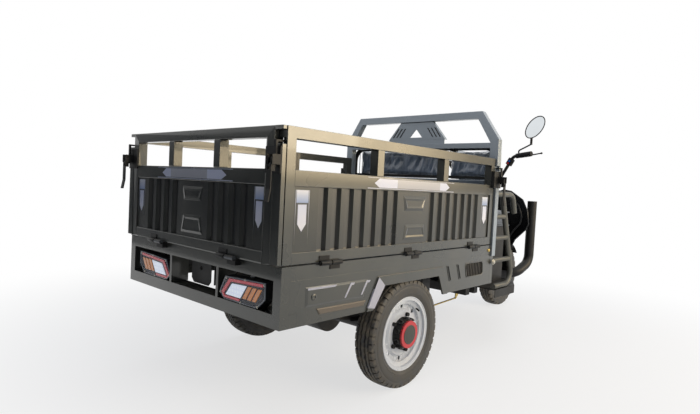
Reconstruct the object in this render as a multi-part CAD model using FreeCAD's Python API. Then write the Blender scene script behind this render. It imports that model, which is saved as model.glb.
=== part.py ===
import FreeCAD, Part
import math
import os

# Cargo tricycle. Millimetres, +X forward, +Y left, +Z up, ground at zero.
# Stations are measured from the rear face of the box. The cab is measured ahead of the box front.

# Overall sizes
BOX_LENGTH = 1494.0
BOX_WIDTH = 1100.0
BED_TOP = 606.0
GATE_GAP = 6.0
GATE_HEIGHT = 468.0
SKIRT_BOTTOM = 392.0
REAR_AXLE_SHARE = 0.50335
FRONT_AXLE_AHEAD = 1258.0
TYRE_RADIUS = 245.0

# Box gates
GATE_TUBE = 40.0
GATE_DEPTH = 40.0
GATE_END_GAP = 4.0
MID_RAIL_HEIGHT = 55.0
MID_RAIL_DROP = 145.0
GATE_BAYS = 3
TAILGATE_PROUD = 20.0
TAIL_FLANGE_GAP = 2.0
TAIL_FLANGE_INSET = 2.0
TAIL_FLANGE_MARGIN = 5.0
PANEL_INSET = 6.0
PANEL_SHEET = 1.6
RIB_DEPTH = 13.0
RIB_FLAT_SHARE = 0.34
RIB_SLOPE_SHARE = 0.16
SIDE_RIBS = 7
TAIL_RIBS = 4
SIDE_RIB_SHARES = (0.078, 0.3475)
TAIL_RIB_SHARES = (0.0912, 0.3004)

# Gate hinges
HINGE_RADIUS = 9.0
HINGE_PIN_RADIUS = 5.0
HINGE_CLEARANCE = 0.1
HINGE_BARREL = 52.0
HINGE_SPLIT = 6.0
HINGE_LEAF = 3.0
HINGE_LEAF_HEIGHT = 26.0
PIN_OVERHANG = 4.0
SIDE_HINGE_SHARES = (0.1513, 0.498, 0.8628)
TAIL_HINGE_OFFSET = 265.0

# Gate latches
LATCH_HEIGHT = 965.0
LATCH_INSET = 20.0
LATCH_PLATE = 5.0
LATCH_PLATE_HEIGHT = 90.0
LATCH_PLATE_REACH = 62.0
LATCH_EAR = 3.0
LATCH_EAR_HEIGHT = 34.0
LATCH_EAR_PITCH = 28.0
LATCH_PIVOT_STANDOFF = 24.0
LATCH_PIN_RADIUS = 4.0
LATCH_LEVER_WIDTH = 22.0
LATCH_LEVER_LENGTH = 140.0
LATCH_LEVER_SHEET = 5.0
LATCH_BOSS_RADIUS = 9.0
LATCH_TAIL_KICK = 8.0
LEVER_KICK_SHARE = 0.7
LEVER_FORK = 34.0
HOOK_DROP = 20.0
HOOK_WIDTH = 12.0
HOOK_ROD = 7.0
HOOK_RISE = 86.0
HOOK_TIP = 12.0
HOOK_SLACK = 4.0
NOTCH_DEPTH = 16.0
NOTCH_HEIGHT = 28.0
LATCH_CLEARANCE = 0.1
LATCH_GAP = 1.0

# Bed
BEAM_HEIGHT = 50.0
BEAM_WIDTH = 40.0
FLOOR_SHEET = 3.0
CROSS_MEMBERS = 4
CROSS_WIDTH = 40.0
REAR_SILL_HEIGHT = 48.0
REAR_SILL_DEPTH = 76.0
DIVIDER_INSET = 375.0
DIVIDER_WIDTH = 15.0
DIVIDER_DEPTH = 80.0
FRONT_POST_TOP = 545.0
FRONT_POST_LENGTH = 36.0

# Side skirts
SKIRT_SHEET = 2.0
ARCH_FRONT_RUN = 45.0
ARCH_REAR_RUN = 68.0
ARCH_HALF = 264.0
ARCH_TOP = 486.0
ARCH_BAND = 40.0
ARCH_BAND_SHEET = 7.0
SKIRT_WINDOW_SETBACK = 268.0
SKIRT_WINDOW_LENGTH = 190.0
SKIRT_WINDOW_LEAN = 14.0
SKIRT_WINDOW_BOTTOM = 452.0
SKIRT_WINDOW_HEIGHT = 72.0
SKIRT_SLOT_SHARES = (0.162, 0.61)
SKIRT_SLOT_WIDTH = 14.0
SKIRT_SLOT_LEAN = 30.0

# Head guard and backrest
GUARD_PROUD = 10.0
GUARD_LEG_WIDTH = 50.0
GUARD_DEPTH = 38.0
GUARD_KNEE = 1185.0
GUARD_TOP = 1346.0
GUARD_TOP_INSET = 110.0
GUARD_TOP_BAR = 42.0
CROSSBAR_DROP = 46.0
CROSSBAR_HEIGHT = 30.0
GUARD_PLATE_TOP_HALF = 120.0
GUARD_PLATE_BOTTOM_HALF = 212.0
GUARD_PLATE_SHEET = 4.0
GUARD_PLATE_FOLD = 24.0
GUARD_TRIANGLE_HALF = 44.0
GUARD_TRIANGLE_SHARE = 0.459
GUARD_TRIANGLE_RISE_SHARE = 0.147
GUARD_SLOTS = 3
GUARD_SLOT_PITCH = 26.0
GUARD_SLOT_START = 78.0
GUARD_SLOT_WIDTH = 9.0
GUARD_SLOT_SHARE = 0.514
GUARD_SLOT_LEAN = 40.0
GUARD_TIE_HALF = 6.0
GUARD_TIE_HEIGHT = 26.0
FRONT_WALL_TOP = 960.0
HOOP_RADIUS = 15.0
HOOP_AHEAD = 62.0
HOOP_TOP = 1162.0
HOOP_BEND = 80.0
PAD_DEPTH = 66.0
PAD_BOTTOM = 968.0
PAD_TOP = 1142.0
PAD_EDGE_SHARES = ((-0.263, 0.96), (-0.96, -0.385))
PAD_CORNER = 26.0
PAD_CROWN = 9.0
PAD_LEVEL_SHARES = ((0.0, 0.5), (0.3, 0.0), (0.7, 0.2), (1.0, 1.0))
CLIP_OFFSET = 253.0
CLIP_WIDTH = 34.0
CLIP_WALL = 5.0

# Driver's place
SIDE_GUARD_RADIUS = 16.0
SIDE_GUARD_INSET = 18.0
ARM_REST_TOP = 904.0
ARM_REST_REACH = 236.0
ARM_REST_BEND = 60.0
ARM_REST_END_AHEAD = 312.0
ARM_REST_END = 780.0
GUARD_BAR_TOP_AHEAD = 142.0
GUARD_BAR_LOW_AHEAD = 334.0
GUARD_BAR_BEND = 70.0
GUARD_RUNGS = (760.0, 638.0, 512.0)
RUNG_RADIUS = 14.0
FOOT_TOP = 345.0
FOOT_SHEET = 4.0
FOOT_FLANGE = 46.0
FOOT_FLANGE_SHEET = 3.0
FOOT_INSET = 2.0
FOOT_WIDE_AHEAD = 346.0
FOOT_FRONT_SHARE = 0.5219
FOOT_REAR_AHEAD = 94.0
FOOT_FRONT_AHEAD = 852.0
SEAT_BOX_AHEAD = 96.0
SEAT_BOX_LENGTH = 380.0
SEAT_BOX_TOP = 684.0
SEAT_BOX_SHEET = 3.0
SEAT_GAP = 4.0
SEAT_INSET = 102.0
SEAT_OVERHANG = 30.0
SEAT_HEIGHT = 96.0
SEAT_CORNER = 50.0
SEAT_CROWN = 14.0
SEAT_LEVEL_SHARES = ((0.0, 0.6), (0.25, 0.0), (0.75, 0.0), (1.0, 1.0))
SEAT_HINGE_RADIUS = 8.0
SEAT_PIN_RADIUS = 4.0
SEAT_HINGE_WIDTH = 60.0
SEAT_HINGE_SHARE = 0.7
BATTERY_COUNT = 5
BATTERY_END_GAP = 25.0
BATTERY_MARGIN = 55.0
BATTERY_HEIGHT = 220.0
BATTERY_GAP = 10.0
CONTROLLER_SIZE = (200.0, 110.0, 60.0)

# Rear lamps and plate bracket
LAMP_OUTLINE = ((328.0, 90.0), (86.0, 100.0), (86.0, 38.0), (129.0, 0.0), (334.0, 0.0), (362.0, 24.0))
LAMP_SETBACK = 8.0
LAMP_DEPTH = 42.0
LAMP_LIGHT_SHEET = 3.0
LAMP_RED = ((350.0, 26.0), (303.0, 82.0), (102.0, 92.0), (102.0, 82.0), (294.0, 72.0), (336.0, 22.0))
LAMP_CLEAR = ((284.0, 66.0), (196.0, 70.0), (232.0, 20.0), (322.0, 20.0))
LAMP_AMBER = ((186.0, 70.0), (166.0, 71.0), (198.0, 22.0), (218.0, 22.0))
LAMP_AMBER_BARS = 3
LAMP_AMBER_PITCH = 29.0
PLATE_HALF = 72.0
PLATE_HEIGHT = 100.0
PLATE_SHEET = 3.0
PLATE_CHAMFER = 18.0
PLATE_HOLE_RADIUS = 9.0
PLATE_HOLE_DROP = 34.0

# Main frame
RAIL_INSET = 180.0
RAIL_WIDTH = 40.0
RAIL_HEIGHT = 80.0
FRAME_REAR_STATION = 84.0
DROP_AHEAD = 46.0
DROP_LENGTH = 44.0
LOW_RAIL_HEIGHT = 50.0
LOW_RAIL_OFFSET = 200.0
LOW_RAIL_FRONT_AHEAD = 856.0
LOW_CROSSES_AHEAD = (146.0, 566.0)
LOW_CROSS_SHARE = 0.7117
NECK_RADIUS = 22.0
NECK_FOOT_AHEAD = 876.0
NECK_TOP_SHARE = 0.78
FRONT_CROSS_LENGTH = 60.0

# Rear suspension and axle
SPRING_WIDTH = 50.0
SPRING_HALF_SPAN = 352.0
SPRING_EYE_HEIGHT = 362.0
SPRING_EYE_RADIUS = 17.0
SPRING_EYE_BORE = 9.0
SPRING_LEAF = 7.0
SPRING_LEAVES = 4
SPRING_LEAF_STEP_SHARE = 0.19
HANGER_GAP = 1.0
HANGER_SHEET = 5.0
HANGER_LENGTH = 70.0
AXLE_RADIUS = 32.0
AXLE_END_INSET = 63.0
AXLE_SEAT = 6.0
AXLE_SEAT_LENGTH = 110.0
DIFF_RADIUS = 98.0
DIFF_WIDTH = 130.0
BACKPLATE_RADIUS = 112.0
BACKPLATE_SHEET = 6.0
HALF_SHAFT_RADIUS = 15.0
SHAFT_CLEARANCE = 0.1
SHAFT_BORE_DEPTH = 70.0
MOTOR_RADIUS = 82.0
MOTOR_LENGTH = 210.0
MOTOR_STEP = 190.0
MOTOR_RISE = 20.0
MOTOR_NOSE_RADIUS = 60.0
GEAR_CASE_WIDTH = 40.0

# Wheels
REAR_TRACK_INSET = 57.0
REAR_TYRE_WIDTH = 106.0
FRONT_TYRE_WIDTH = 95.0
RIM_RADIUS = 165.0
RIM_SEAT_RADIUS = 152.0
RIM_WELL_RADIUS = 134.0
RIM_SHEET = 3.5
RIM_WIDTH_SHARE = 0.84
RIM_WELL_SHARE = 0.6
RIM_SLOPE_SHARE = 0.14
DISC_OFFSET = 24.0
DISC_SHEET = 5.0
DISC_STEP_RADIUS = 100.0
DISC_STEP = 10.0
DISC_BORE = 40.0
DISC_SLOTS = 8
DISC_SLOT_RADIUS = 9.0
DISC_SLOT_CIRCLE = 118.0
BEAD_GAP = 0.3
TYRE_SHOULDER_SHARE = 0.86
TYRE_CROWN_SHARE = 0.88
DRUM_RADIUS = 98.0
DRUM_WALL = 8.0
DRUM_GAP = 3.0
HUB_RADIUS = 72.0
HUB_NOSE_RADIUS = 60.0
HUB_HEIGHT = 42.0
HUB_RING_DEPTH = 5.0
HUB_CAP_RADIUS = 38.0
HUB_NUTS = 5
HUB_NUT_RADIUS = 9.0
HUB_NUT_CIRCLE = 84.0
HUB_NUT_HEIGHT = 12.0

# Steering and fork, in the fork's own frame: axle at zero, Z up along the steering axis
RAKE_DEGREES = 25.0
FORK_OFFSET = 40.0
FORK_HALF = 86.0
SLIDER_RADIUS = 23.0
SLIDER_BOTTOM = 34.0
SLIDER_TOP = 330.0
STANCHION_RADIUS = 16.0
STANCHION_CLEARANCE = 0.1
STANCHION_BOTTOM = 150.0
SLIDER_FLOOR = 60.0
YOKE_LOW = 620.0
YOKE_HIGH = 780.0
YOKE_THICKNESS = 28.0
YOKE_RADIUS = 27.0
STEM_RADIUS = 14.0
STEM_CLEARANCE = 0.1
HEAD_TUBE_RADIUS = 27.0
HEAD_TUBE_GAP = 4.0
FRONT_AXLE_RADIUS = 8.0
FRONT_HUB_RADIUS = 62.0
FRONT_HUB_HALF = 48.0
MUDGUARD_RADIUS = 268.0
MUDGUARD_SHEET = 3.0
MUDGUARD_HALF = 56.0
MUDGUARD_FRONT_DEGREES = 12.0
MUDGUARD_REAR_DEGREES = 138.0
MUDGUARD_WEDGE_STEPS = 8
MUDGUARD_STAY = 14.0
MUDGUARD_STAY_SHEET = 4.0
MUDGUARD_STAY_WIDTH = 24.0

# Handlebar, in distances ahead of the box and heights
BAR_RADIUS = 11.0
BAR_CENTRE = (844.0, 0.0, 990.0)
BAR_KNEE = (844.0, -165.0, 990.0)
BAR_SHOULDER = (814.0, -276.0, 1156.0)
BAR_END = (789.0, -410.0, 1172.0)
BAR_BEND = 45.0
RISER_WIDTH = 34.0
RISER_OFFSET = 40.0
RISER_WALL = 9.0
GRIP_RADIUS = 17.0
GRIP_START = 24.0
GRIP_CLEARANCE = 0.1
GRIP_CAP = 4.0
POD_RADIUS = 23.0
POD_LENGTH = 44.0
POD_GAP = 2.0
BUTTON_RADIUS = 6.0
BUTTON_HEIGHT = 7.0
BUTTON_TRAVEL = 2.0
BUTTON_WELL = 5.0
BUTTON_CLEARANCE = 0.3
BUTTON_PITCH = 17.0
PERCH_REACH = 34.0
PERCH_WIDTH = 26.0
PERCH_HEIGHT = 20.0
PERCH_SLOT = 9.0
LEVER_THICKNESS = 7.0
LEVER_LENGTH = 150.0
LEVER_WIDTH = 13.0
LEVER_SWEEP = 26.0
LEVER_BEND_SHARE = 0.45
LEVER_PIN_RADIUS = 4.0
LEVER_BOSS_RADIUS = 9.0
LEVER_BALL_RADIUS = 7.0
MIRROR_STEM_RADIUS = 5.0
MIRROR_STEM_FOOT = 26.0
MIRROR_STEM_BEND = 14.0
MIRROR_STEM_KNEE = (824.0, -392.0, 1240.0)
MIRROR_STEM_END = (824.0, -392.0, 1322.0)
MIRROR_SOCKET_RADIUS = 9.0
MIRROR_SOCKET_LENGTH = 22.0
MIRROR_ARM = 8.0
MIRROR_CENTRE = (794.0, -424.0, 1352.0)
MIRROR_LONG = 84.0
MIRROR_SHORT = 52.0
MIRROR_DEPTH = 22.0
MIRROR_LEAN_DEGREES = 38.0
MIRROR_GLASS = 2.0
MIRROR_RIM = 5.0
DASH_SIZE = (70.0, 150.0, 46.0)

# Front fairing, head lamp, bumper and brake pedal
SHIELD_AHEAD = 846.0
SHIELD_SHEET = 4.0
SHIELD_REACH = 30.0
SHIELD_WIDTH_SHARES = (0.0, 0.375, 0.5125, 0.655, 0.875, 0.97, 1.0, 0.96, 0.78, 0.725, 0.71, 0.71, 0.0)
SHIELD_HEIGHTS = (896.0, 900.0, 920.0, 912.0, 856.0, 780.0, 690.0, 650.0, 575.0, 530.0, 450.0, FOOT_TOP,
                  FOOT_TOP)
COWL_HALF = 190.0
COWL_NOSE_HALF = 120.0
COWL_FRONT_AHEAD = 1146.0
COWL_BOTTOM = 660.0
COWL_TOP = 916.0
COWL_SHEET = 4.0
LAMP_RADIUS = 78.0
HEAD_LAMP_HEIGHT = 790.0
HEAD_LAMP_DEPTH = 46.0
HEAD_LAMP_LENS = 10.0
BUMPER_RADIUS = 33.0
BUMPER_AHEAD = 1066.0
BUMPER_OFFSET = 327.0
BUMPER_TOP = 848.0
BUMPER_LOW = 400.0
BUMPER_TURN = (891.0, 300.0, 318.0)
BUMPER_FOOT_OFFSET = 170.0
BUMPER_BEND = 90.0
PEDAL_AHEAD = 746.0
PEDAL_OFFSET = -190.0
PEDAL_PIVOT_HEIGHT = 392.0
PEDAL_PIN_RADIUS = 6.0
PEDAL_ARM_WIDTH = 12.0
PEDAL_ARM_LENGTH = 120.0
PEDAL_ARM_DEPTH = 22.0
PEDAL_PAD = (10.0, 76.0, 56.0)
PEDAL_BRACKET_SHEET = 5.0
PEDAL_GAP = 0.5
CRANK_AHEAD = 156.0
CRANK_OFFSET = -262.0
CRANK_WIDTH = 60.0
CRANK_BOTTOM = 232.0
CRANK_SHEET = 6.0
BRAKE_ROD_RADIUS = 4.5
BRAKE_ROD_STEP = 148.0
BRAKE_ROD_REAR_HEIGHT = 200.0

# Values that follow from the ones above
REAR_AXLE_STATION = BOX_LENGTH * REAR_AXLE_SHARE
FRONT_AXLE_STATION = BOX_LENGTH + FRONT_AXLE_AHEAD
LATCH_REACH = TAILGATE_PROUD + LATCH_PLATE + LATCH_PIVOT_STANDOFF + LATCH_BOSS_RADIUS + LATCH_TAIL_KICK
REAR_X = (LATCH_REACH - FRONT_AXLE_STATION - TYRE_RADIUS) / 2
HALF_BOX = BOX_WIDTH / 2
GATE_BOTTOM = BED_TOP + GATE_GAP
BEAM_BOTTOM = BED_TOP - BEAM_HEIGHT
SIDE_GATE_LENGTH = BOX_LENGTH - GATE_END_GAP
TAILGATE_LENGTH = BOX_WIDTH - 2 * (GATE_DEPTH + GATE_END_GAP)
HINGE_HEIGHT = (BED_TOP + GATE_BOTTOM) / 2
GUARD_X = REAR_X + BOX_LENGTH
RAIL_TOP = BEAM_BOTTOM
RAIL_BOTTOM = RAIL_TOP - RAIL_HEIGHT
FOOT_BOTTOM = FOOT_TOP - FOOT_SHEET
LOW_RAIL_BOTTOM = FOOT_BOTTOM - LOW_RAIL_HEIGHT
REAR_AXLE_X = REAR_X + REAR_AXLE_STATION
FRONT_AXLE_X = REAR_X + FRONT_AXLE_STATION
HOOP_HALF_WIDTH = HALF_BOX - SIDE_GUARD_INSET
SILL_TOP = SKIRT_BOTTOM + REAR_SILL_HEIGHT
DIVIDER_OFFSET = HALF_BOX - DIVIDER_INSET
ARCH_REAR_STATION = REAR_AXLE_STATION - ARCH_HALF
ARCH_FRONT_STATION = REAR_AXLE_STATION + ARCH_HALF
SPRING_REAR_STATION = REAR_AXLE_STATION - SPRING_HALF_SPAN
SPRING_FRONT_STATION = REAR_AXLE_STATION + SPRING_HALF_SPAN
SIDE_HINGE_STATIONS = [BOX_LENGTH * share for share in SIDE_HINGE_SHARES]
GUARD_HALF_WIDTH = HALF_BOX + GUARD_PROUD
GUARD_TOP_HALF_WIDTH = GUARD_HALF_WIDTH - GUARD_TOP_INSET
CROSSBAR_BOTTOM = GUARD_KNEE - CROSSBAR_DROP
CROSSBAR_TOP = CROSSBAR_BOTTOM + CROSSBAR_HEIGHT
FOOT_HALF_WIDTH = HALF_BOX - FOOT_INSET
FOOT_FRONT_HALF = FOOT_HALF_WIDTH * FOOT_FRONT_SHARE
SEAT_HALF = HOOP_HALF_WIDTH - SEAT_INSET
SEAT_BOX_HALF = SEAT_HALF - SEAT_OVERHANG
SEAT_LENGTH = SEAT_BOX_LENGTH + SEAT_OVERHANG
BATTERY_LENGTH = SEAT_BOX_LENGTH - 2 * BATTERY_END_GAP
RAIL_OFFSET = HALF_BOX - RAIL_INSET
SHIELD_HALF = RAIL_OFFSET + SHIELD_REACH
REAR_TRACK_HALF = HALF_BOX - REAR_TRACK_INSET
AXLE_END = REAR_TRACK_HALF - AXLE_END_INSET

V = FreeCAD.Vector
X_AXIS = V(1, 0, 0)
Y_AXIS = V(0, 1, 0)
Z_AXIS = V(0, 0, 1)
ORIGIN = V(0, 0, 0)


def station(x, y, z):
    """Point given by its station from the rear face of the box."""
    return V(REAR_X + x, y, z)


def ahead(x, y, z):
    """Point given by its distance ahead of the front of the box."""
    return V(GUARD_X + x, y, z)


def block(low, high):
    size = high - low
    return Part.makeBox(size.x, size.y, size.z, low)


def rod(start, end, radius):
    along = end - start
    return Part.makeCylinder(radius, along.Length, start, along)


def sleeve(start, end, radius, bore):
    return rod(start, end, radius).cut(rod(start, end, bore))


def prism(points, push):
    outline = Part.makePolygon(list(points) + [points[0]])
    return Part.Face(outline).extrude(push)


def fused(solids):
    whole = solids[0]
    for solid in solids[1:]:
        whole = whole.fuse(solid)
    return whole.removeSplitter()


def bent_tube(points, bend, radius):
    """Round bar with straight runs and a round bend at every inner point."""
    pieces = []
    start = points[0]
    for before, corner, after in zip(points, points[1:], points[2:]):
        into = (corner - before).normalize()
        out = (after - corner).normalize()
        turn = into.getAngle(out)
        run = bend * math.tan(turn / 2)
        first = corner - into * run
        centre = corner + (out - into).normalize() * (bend / math.cos(turn / 2))
        disc = Part.Face(Part.Wire(Part.makeCircle(radius, first, into)))
        pieces.append(rod(start, first, radius))
        pieces.append(disc.revolve(centre, into.cross(out), math.degrees(turn)))
        start = corner + out * run
    pieces.append(rod(start, points[-1], radius))
    return fused(pieces)


def mirrored(shape):
    return shape.mirror(ORIGIN, Y_AXIS)


def both_sides(shapes):
    return list(shapes) + [mirrored(shape) for shape in shapes]


def moved(shape, offset):
    copy = shape.copy()
    copy.translate(offset)
    return copy


def quarter_turned(shape):
    """Turn from the right side of the box to its rear."""
    copy = shape.copy()
    copy.rotate(ORIGIN, Z_AXIS, -90)
    return copy


def save(name, solids):
    shape = solids[0] if len(solids) == 1 else Part.makeCompound(solids)
    shape.exportStep(os.path.join("parts", name + ".step"))


def rectangle(left, low, right, high):
    return ((left, low), (right, low), (right, high), (left, high))


# Gates are drawn lying along X with the outer face at Y zero and the lower edge at Z zero.

def gate_frame(length):
    deep = V(0, GATE_DEPTH, 0)
    inner_top = GATE_HEIGHT - GATE_TUBE
    inner_end = length - GATE_TUBE
    mid_top = GATE_HEIGHT - MID_RAIL_DROP
    outlines = [
        ((0, 0), (GATE_TUBE, 0), (GATE_TUBE, inner_top), (0, GATE_HEIGHT)),
        ((length, 0), (length, GATE_HEIGHT), (inner_end, inner_top), (inner_end, 0)),
        ((0, GATE_HEIGHT), (GATE_TUBE, inner_top), (inner_end, inner_top), (length, GATE_HEIGHT)),
        rectangle(GATE_TUBE, 0, inner_end, GATE_TUBE),
        rectangle(GATE_TUBE, mid_top - MID_RAIL_HEIGHT, inner_end, mid_top),
    ]
    for bay in range(1, GATE_BAYS):
        centre = length * bay / GATE_BAYS
        outlines.append(rectangle(centre - GATE_TUBE / 2, mid_top, centre + GATE_TUBE / 2, inner_top))
    return [prism([V(x, 0, z) for x, z in outline], deep) for outline in outlines]


def gate_panel(length, ribs, shares):
    """Pressed sheet with a run of ribs on each side of a plain middle field."""
    end_flat, band = [(length - 2 * GATE_TUBE) * share for share in shares]
    pitch = band / ribs
    flat = pitch * RIB_FLAT_SHARE
    slope = pitch * RIB_SLOPE_SHARE
    low, high = PANEL_INSET, PANEL_INSET + RIB_DEPTH
    face = [(GATE_TUBE, low)]
    starts = [GATE_TUBE + end_flat + pitch * rib for rib in range(ribs)]
    starts += [length - start - pitch for start in reversed(starts)]
    for start in starts:
        valley = start + flat / 2
        face += [(valley, low), (valley + slope, high), (valley + slope + flat, high),
                 (valley + 2 * slope + flat, low)]
    face.append((length - GATE_TUBE, low))
    back = [(x, y + PANEL_SHEET) for x, y in reversed(face)]
    bottom = GATE_TUBE
    rise = GATE_HEIGHT - MID_RAIL_DROP - MID_RAIL_HEIGHT - bottom
    return prism([V(x, y, bottom) for x, y in face + back], V(0, 0, rise))


# Hinge halves are drawn along X on the hinge line, with the gate face at Y plus the barrel radius.

def hinge_moving(centre):
    start = centre - HINGE_SPLIT / 2 - HINGE_BARREL
    end = start + HINGE_BARREL
    bore = HINGE_PIN_RADIUS + HINGE_CLEARANCE
    barrel = rod(V(start, 0, 0), V(end, 0, 0), HINGE_RADIUS)
    leaf = block(V(start, HINGE_RADIUS - HINGE_LEAF, 0), V(end, HINGE_RADIUS, HINGE_LEAF_HEIGHT))
    return barrel.fuse(leaf).cut(rod(V(start, 0, 0), V(end, 0, 0), bore)).removeSplitter()


def hinge_fixed(centre, packing):
    start = centre + HINGE_SPLIT / 2
    end = start + HINGE_BARREL
    pin_start = centre - HINGE_SPLIT / 2 - HINGE_BARREL - PIN_OVERHANG
    barrel = rod(V(start, 0, 0), V(end, 0, 0), HINGE_RADIUS)
    leaf = block(V(start, HINGE_RADIUS - HINGE_LEAF, -HINGE_LEAF_HEIGHT),
                 V(end, HINGE_RADIUS + packing, BED_TOP - HINGE_HEIGHT))
    pin = rod(V(pin_start, 0, 0), V(start, 0, 0), HINGE_PIN_RADIUS)
    return fused([barrel, leaf, pin])


# Latches are drawn with outward along minus Y, the plate back at Y zero and the lever pivot at Z zero.

PIVOT_Y = -LATCH_PLATE - LATCH_PIVOT_STANDOFF
EAR_OUT = LATCH_EAR_PITCH / 2 + LATCH_EAR


def cross_pin(y, z, half, radius):
    return rod(V(-half, y, z), V(half, y, z), radius)


def latch_base(packing):
    plate = block(V(-LATCH_PLATE_REACH, -LATCH_PLATE, -LATCH_PLATE_HEIGHT / 2),
                  V(EAR_OUT, 0, LATCH_PLATE_HEIGHT / 2))
    ear = block(V(LATCH_EAR_PITCH / 2, PIVOT_Y - LATCH_BOSS_RADIUS, -LATCH_EAR_HEIGHT / 2),
                V(EAR_OUT, -LATCH_PLATE, LATCH_EAR_HEIGHT / 2))
    other = ear.mirror(ORIGIN, X_AXIS)
    stub = rod(V(HOOK_WIDTH / 2 + LATCH_GAP, PIVOT_Y, 0), V(EAR_OUT, PIVOT_Y, 0), LATCH_PIN_RADIUS)
    pieces = [plate, ear, other, stub, stub.mirror(ORIGIN, X_AXIS)]
    if packing:
        pieces.append(block(V(-LATCH_PLATE_REACH, 0, -LATCH_PLATE_HEIGHT / 2),
                            V(-EAR_OUT - LATCH_EAR, packing, LATCH_PLATE_HEIGHT / 2)))
    return fused(pieces)


def latch_lever():
    half = LATCH_LEVER_WIDTH / 2
    web = (LATCH_LEVER_WIDTH - HOOK_WIDTH) / 2 - LATCH_GAP
    out = PIVOT_Y - LATCH_BOSS_RADIUS
    inner = out + LATCH_LEVER_SHEET
    kick = LATCH_LEVER_LENGTH * LEVER_KICK_SHARE
    tail = LATCH_LEVER_LENGTH
    outline = ((out, -LEVER_FORK), (inner, -LEVER_FORK), (inner, -kick), (inner - LATCH_TAIL_KICK, -tail),
               (out - LATCH_TAIL_KICK, -tail), (out, -kick))
    blade = prism([V(-half, y, z) for y, z in outline], V(LATCH_LEVER_WIDTH, 0, 0))
    pieces = [blade, cross_pin(PIVOT_Y, -HOOK_DROP, half, LATCH_PIN_RADIUS)]
    for start in (-half, half - web):
        left, right = V(start, 0, 0), V(start + web, 0, 0)
        pieces.append(rod(left + V(0, PIVOT_Y, 0), right + V(0, PIVOT_Y, 0), LATCH_BOSS_RADIUS))
        pieces.append(block(left + V(0, out, -LEVER_FORK - LATCH_LEVER_SHEET),
                            right + V(0, PIVOT_Y + LATCH_BOSS_RADIUS, 0)))
    bore = cross_pin(PIVOT_Y, 0, LATCH_LEVER_WIDTH, LATCH_PIN_RADIUS + LATCH_CLEARANCE)
    return fused(pieces).cut(bore)


def latch_hook(face):
    half = HOOK_WIDTH / 2
    near = -LATCH_PLATE - HOOK_SLACK - HOOK_ROD
    top = HOOK_RISE - HOOK_DROP
    eye = cross_pin(PIVOT_Y, -HOOK_DROP, half, LATCH_BOSS_RADIUS - LATCH_GAP)
    stem_low = -HOOK_DROP - HOOK_ROD / 2
    outline = ((PIVOT_Y, stem_low), (near + HOOK_ROD, stem_low), (near + HOOK_ROD, top - HOOK_ROD),
               (face + HOOK_TIP, top - HOOK_ROD), (face + HOOK_TIP, top), (near, top),
               (near, stem_low + HOOK_ROD), (PIVOT_Y, stem_low + HOOK_ROD))
    stem = prism([V(-half, y, z) for y, z in outline], V(HOOK_WIDTH, 0, 0))
    bore = cross_pin(PIVOT_Y, -HOOK_DROP, HOOK_WIDTH, LATCH_PIN_RADIUS + LATCH_CLEARANCE)
    return eye.fuse(stem).removeSplitter().cut(bore)


def notch(face):
    """Space in the neighbouring post that the hook tip reaches into, open towards the gate."""
    top = HOOK_RISE - HOOK_DROP
    low = top - HOOK_ROD / 2 - NOTCH_HEIGHT / 2
    high = low + NOTCH_HEIGHT
    return block(V(-BOX_WIDTH, face, low), V(HOOK_WIDTH / 2 + HOOK_SLACK, face + NOTCH_DEPTH, high))


def at_rear_latch(shape):
    return moved(quarter_turned(shape), V(REAR_X - TAILGATE_PROUD, LATCH_INSET - HALF_BOX, LATCH_HEIGHT))


FRONT_PACKING = GUARD_HALF_WIDTH - HALF_BOX + HOOK_SLACK


def at_front_latch(shape):
    return moved(shape, V(GUARD_X + GUARD_DEPTH / 2, -HALF_BOX - FRONT_PACKING, LATCH_HEIGHT))


# Bed, skirts and guard

def bed_frame():
    half_in = HALF_BOX - BEAM_WIDTH
    beam = block(V(REAR_X, -HALF_BOX, BEAM_BOTTOM), V(GUARD_X, -half_in, BED_TOP))
    corner = block(V(REAR_X, -HALF_BOX, SILL_TOP), V(REAR_X + BEAM_WIDTH, -half_in, BEAM_BOTTOM))
    front_post = block(V(GUARD_X, -HALF_BOX, SKIRT_BOTTOM),
                       V(GUARD_X + FRONT_POST_LENGTH, -half_in, FRONT_POST_TOP))
    divider = block(V(REAR_X, -DIVIDER_OFFSET - DIVIDER_WIDTH / 2, SILL_TOP),
                    V(REAR_X + DIVIDER_DEPTH, -DIVIDER_OFFSET + DIVIDER_WIDTH / 2, BEAM_BOTTOM))
    solids = both_sides([beam, corner, front_post, divider])
    solids.append(block(V(REAR_X, -half_in, BEAM_BOTTOM), V(REAR_X + BEAM_WIDTH, half_in, BED_TOP)))
    solids.append(block(V(REAR_X, -HALF_BOX, SKIRT_BOTTOM),
                        V(REAR_X + REAR_SILL_DEPTH, HALF_BOX, SILL_TOP)))
    pitch = (BOX_LENGTH - CROSS_WIDTH) / CROSS_MEMBERS
    for number in range(1, CROSS_MEMBERS + 1):
        start = REAR_X + pitch * number
        solids.append(block(V(start, -half_in, BEAM_BOTTOM),
                            V(start + CROSS_WIDTH, half_in, BED_TOP - FLOOR_SHEET)))
    return solids


def cargo_floor():
    half = HALF_BOX - BEAM_WIDTH
    return block(V(REAR_X + BEAM_WIDTH, -half, BED_TOP - FLOOR_SHEET), V(GUARD_X, half, BED_TOP))


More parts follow.
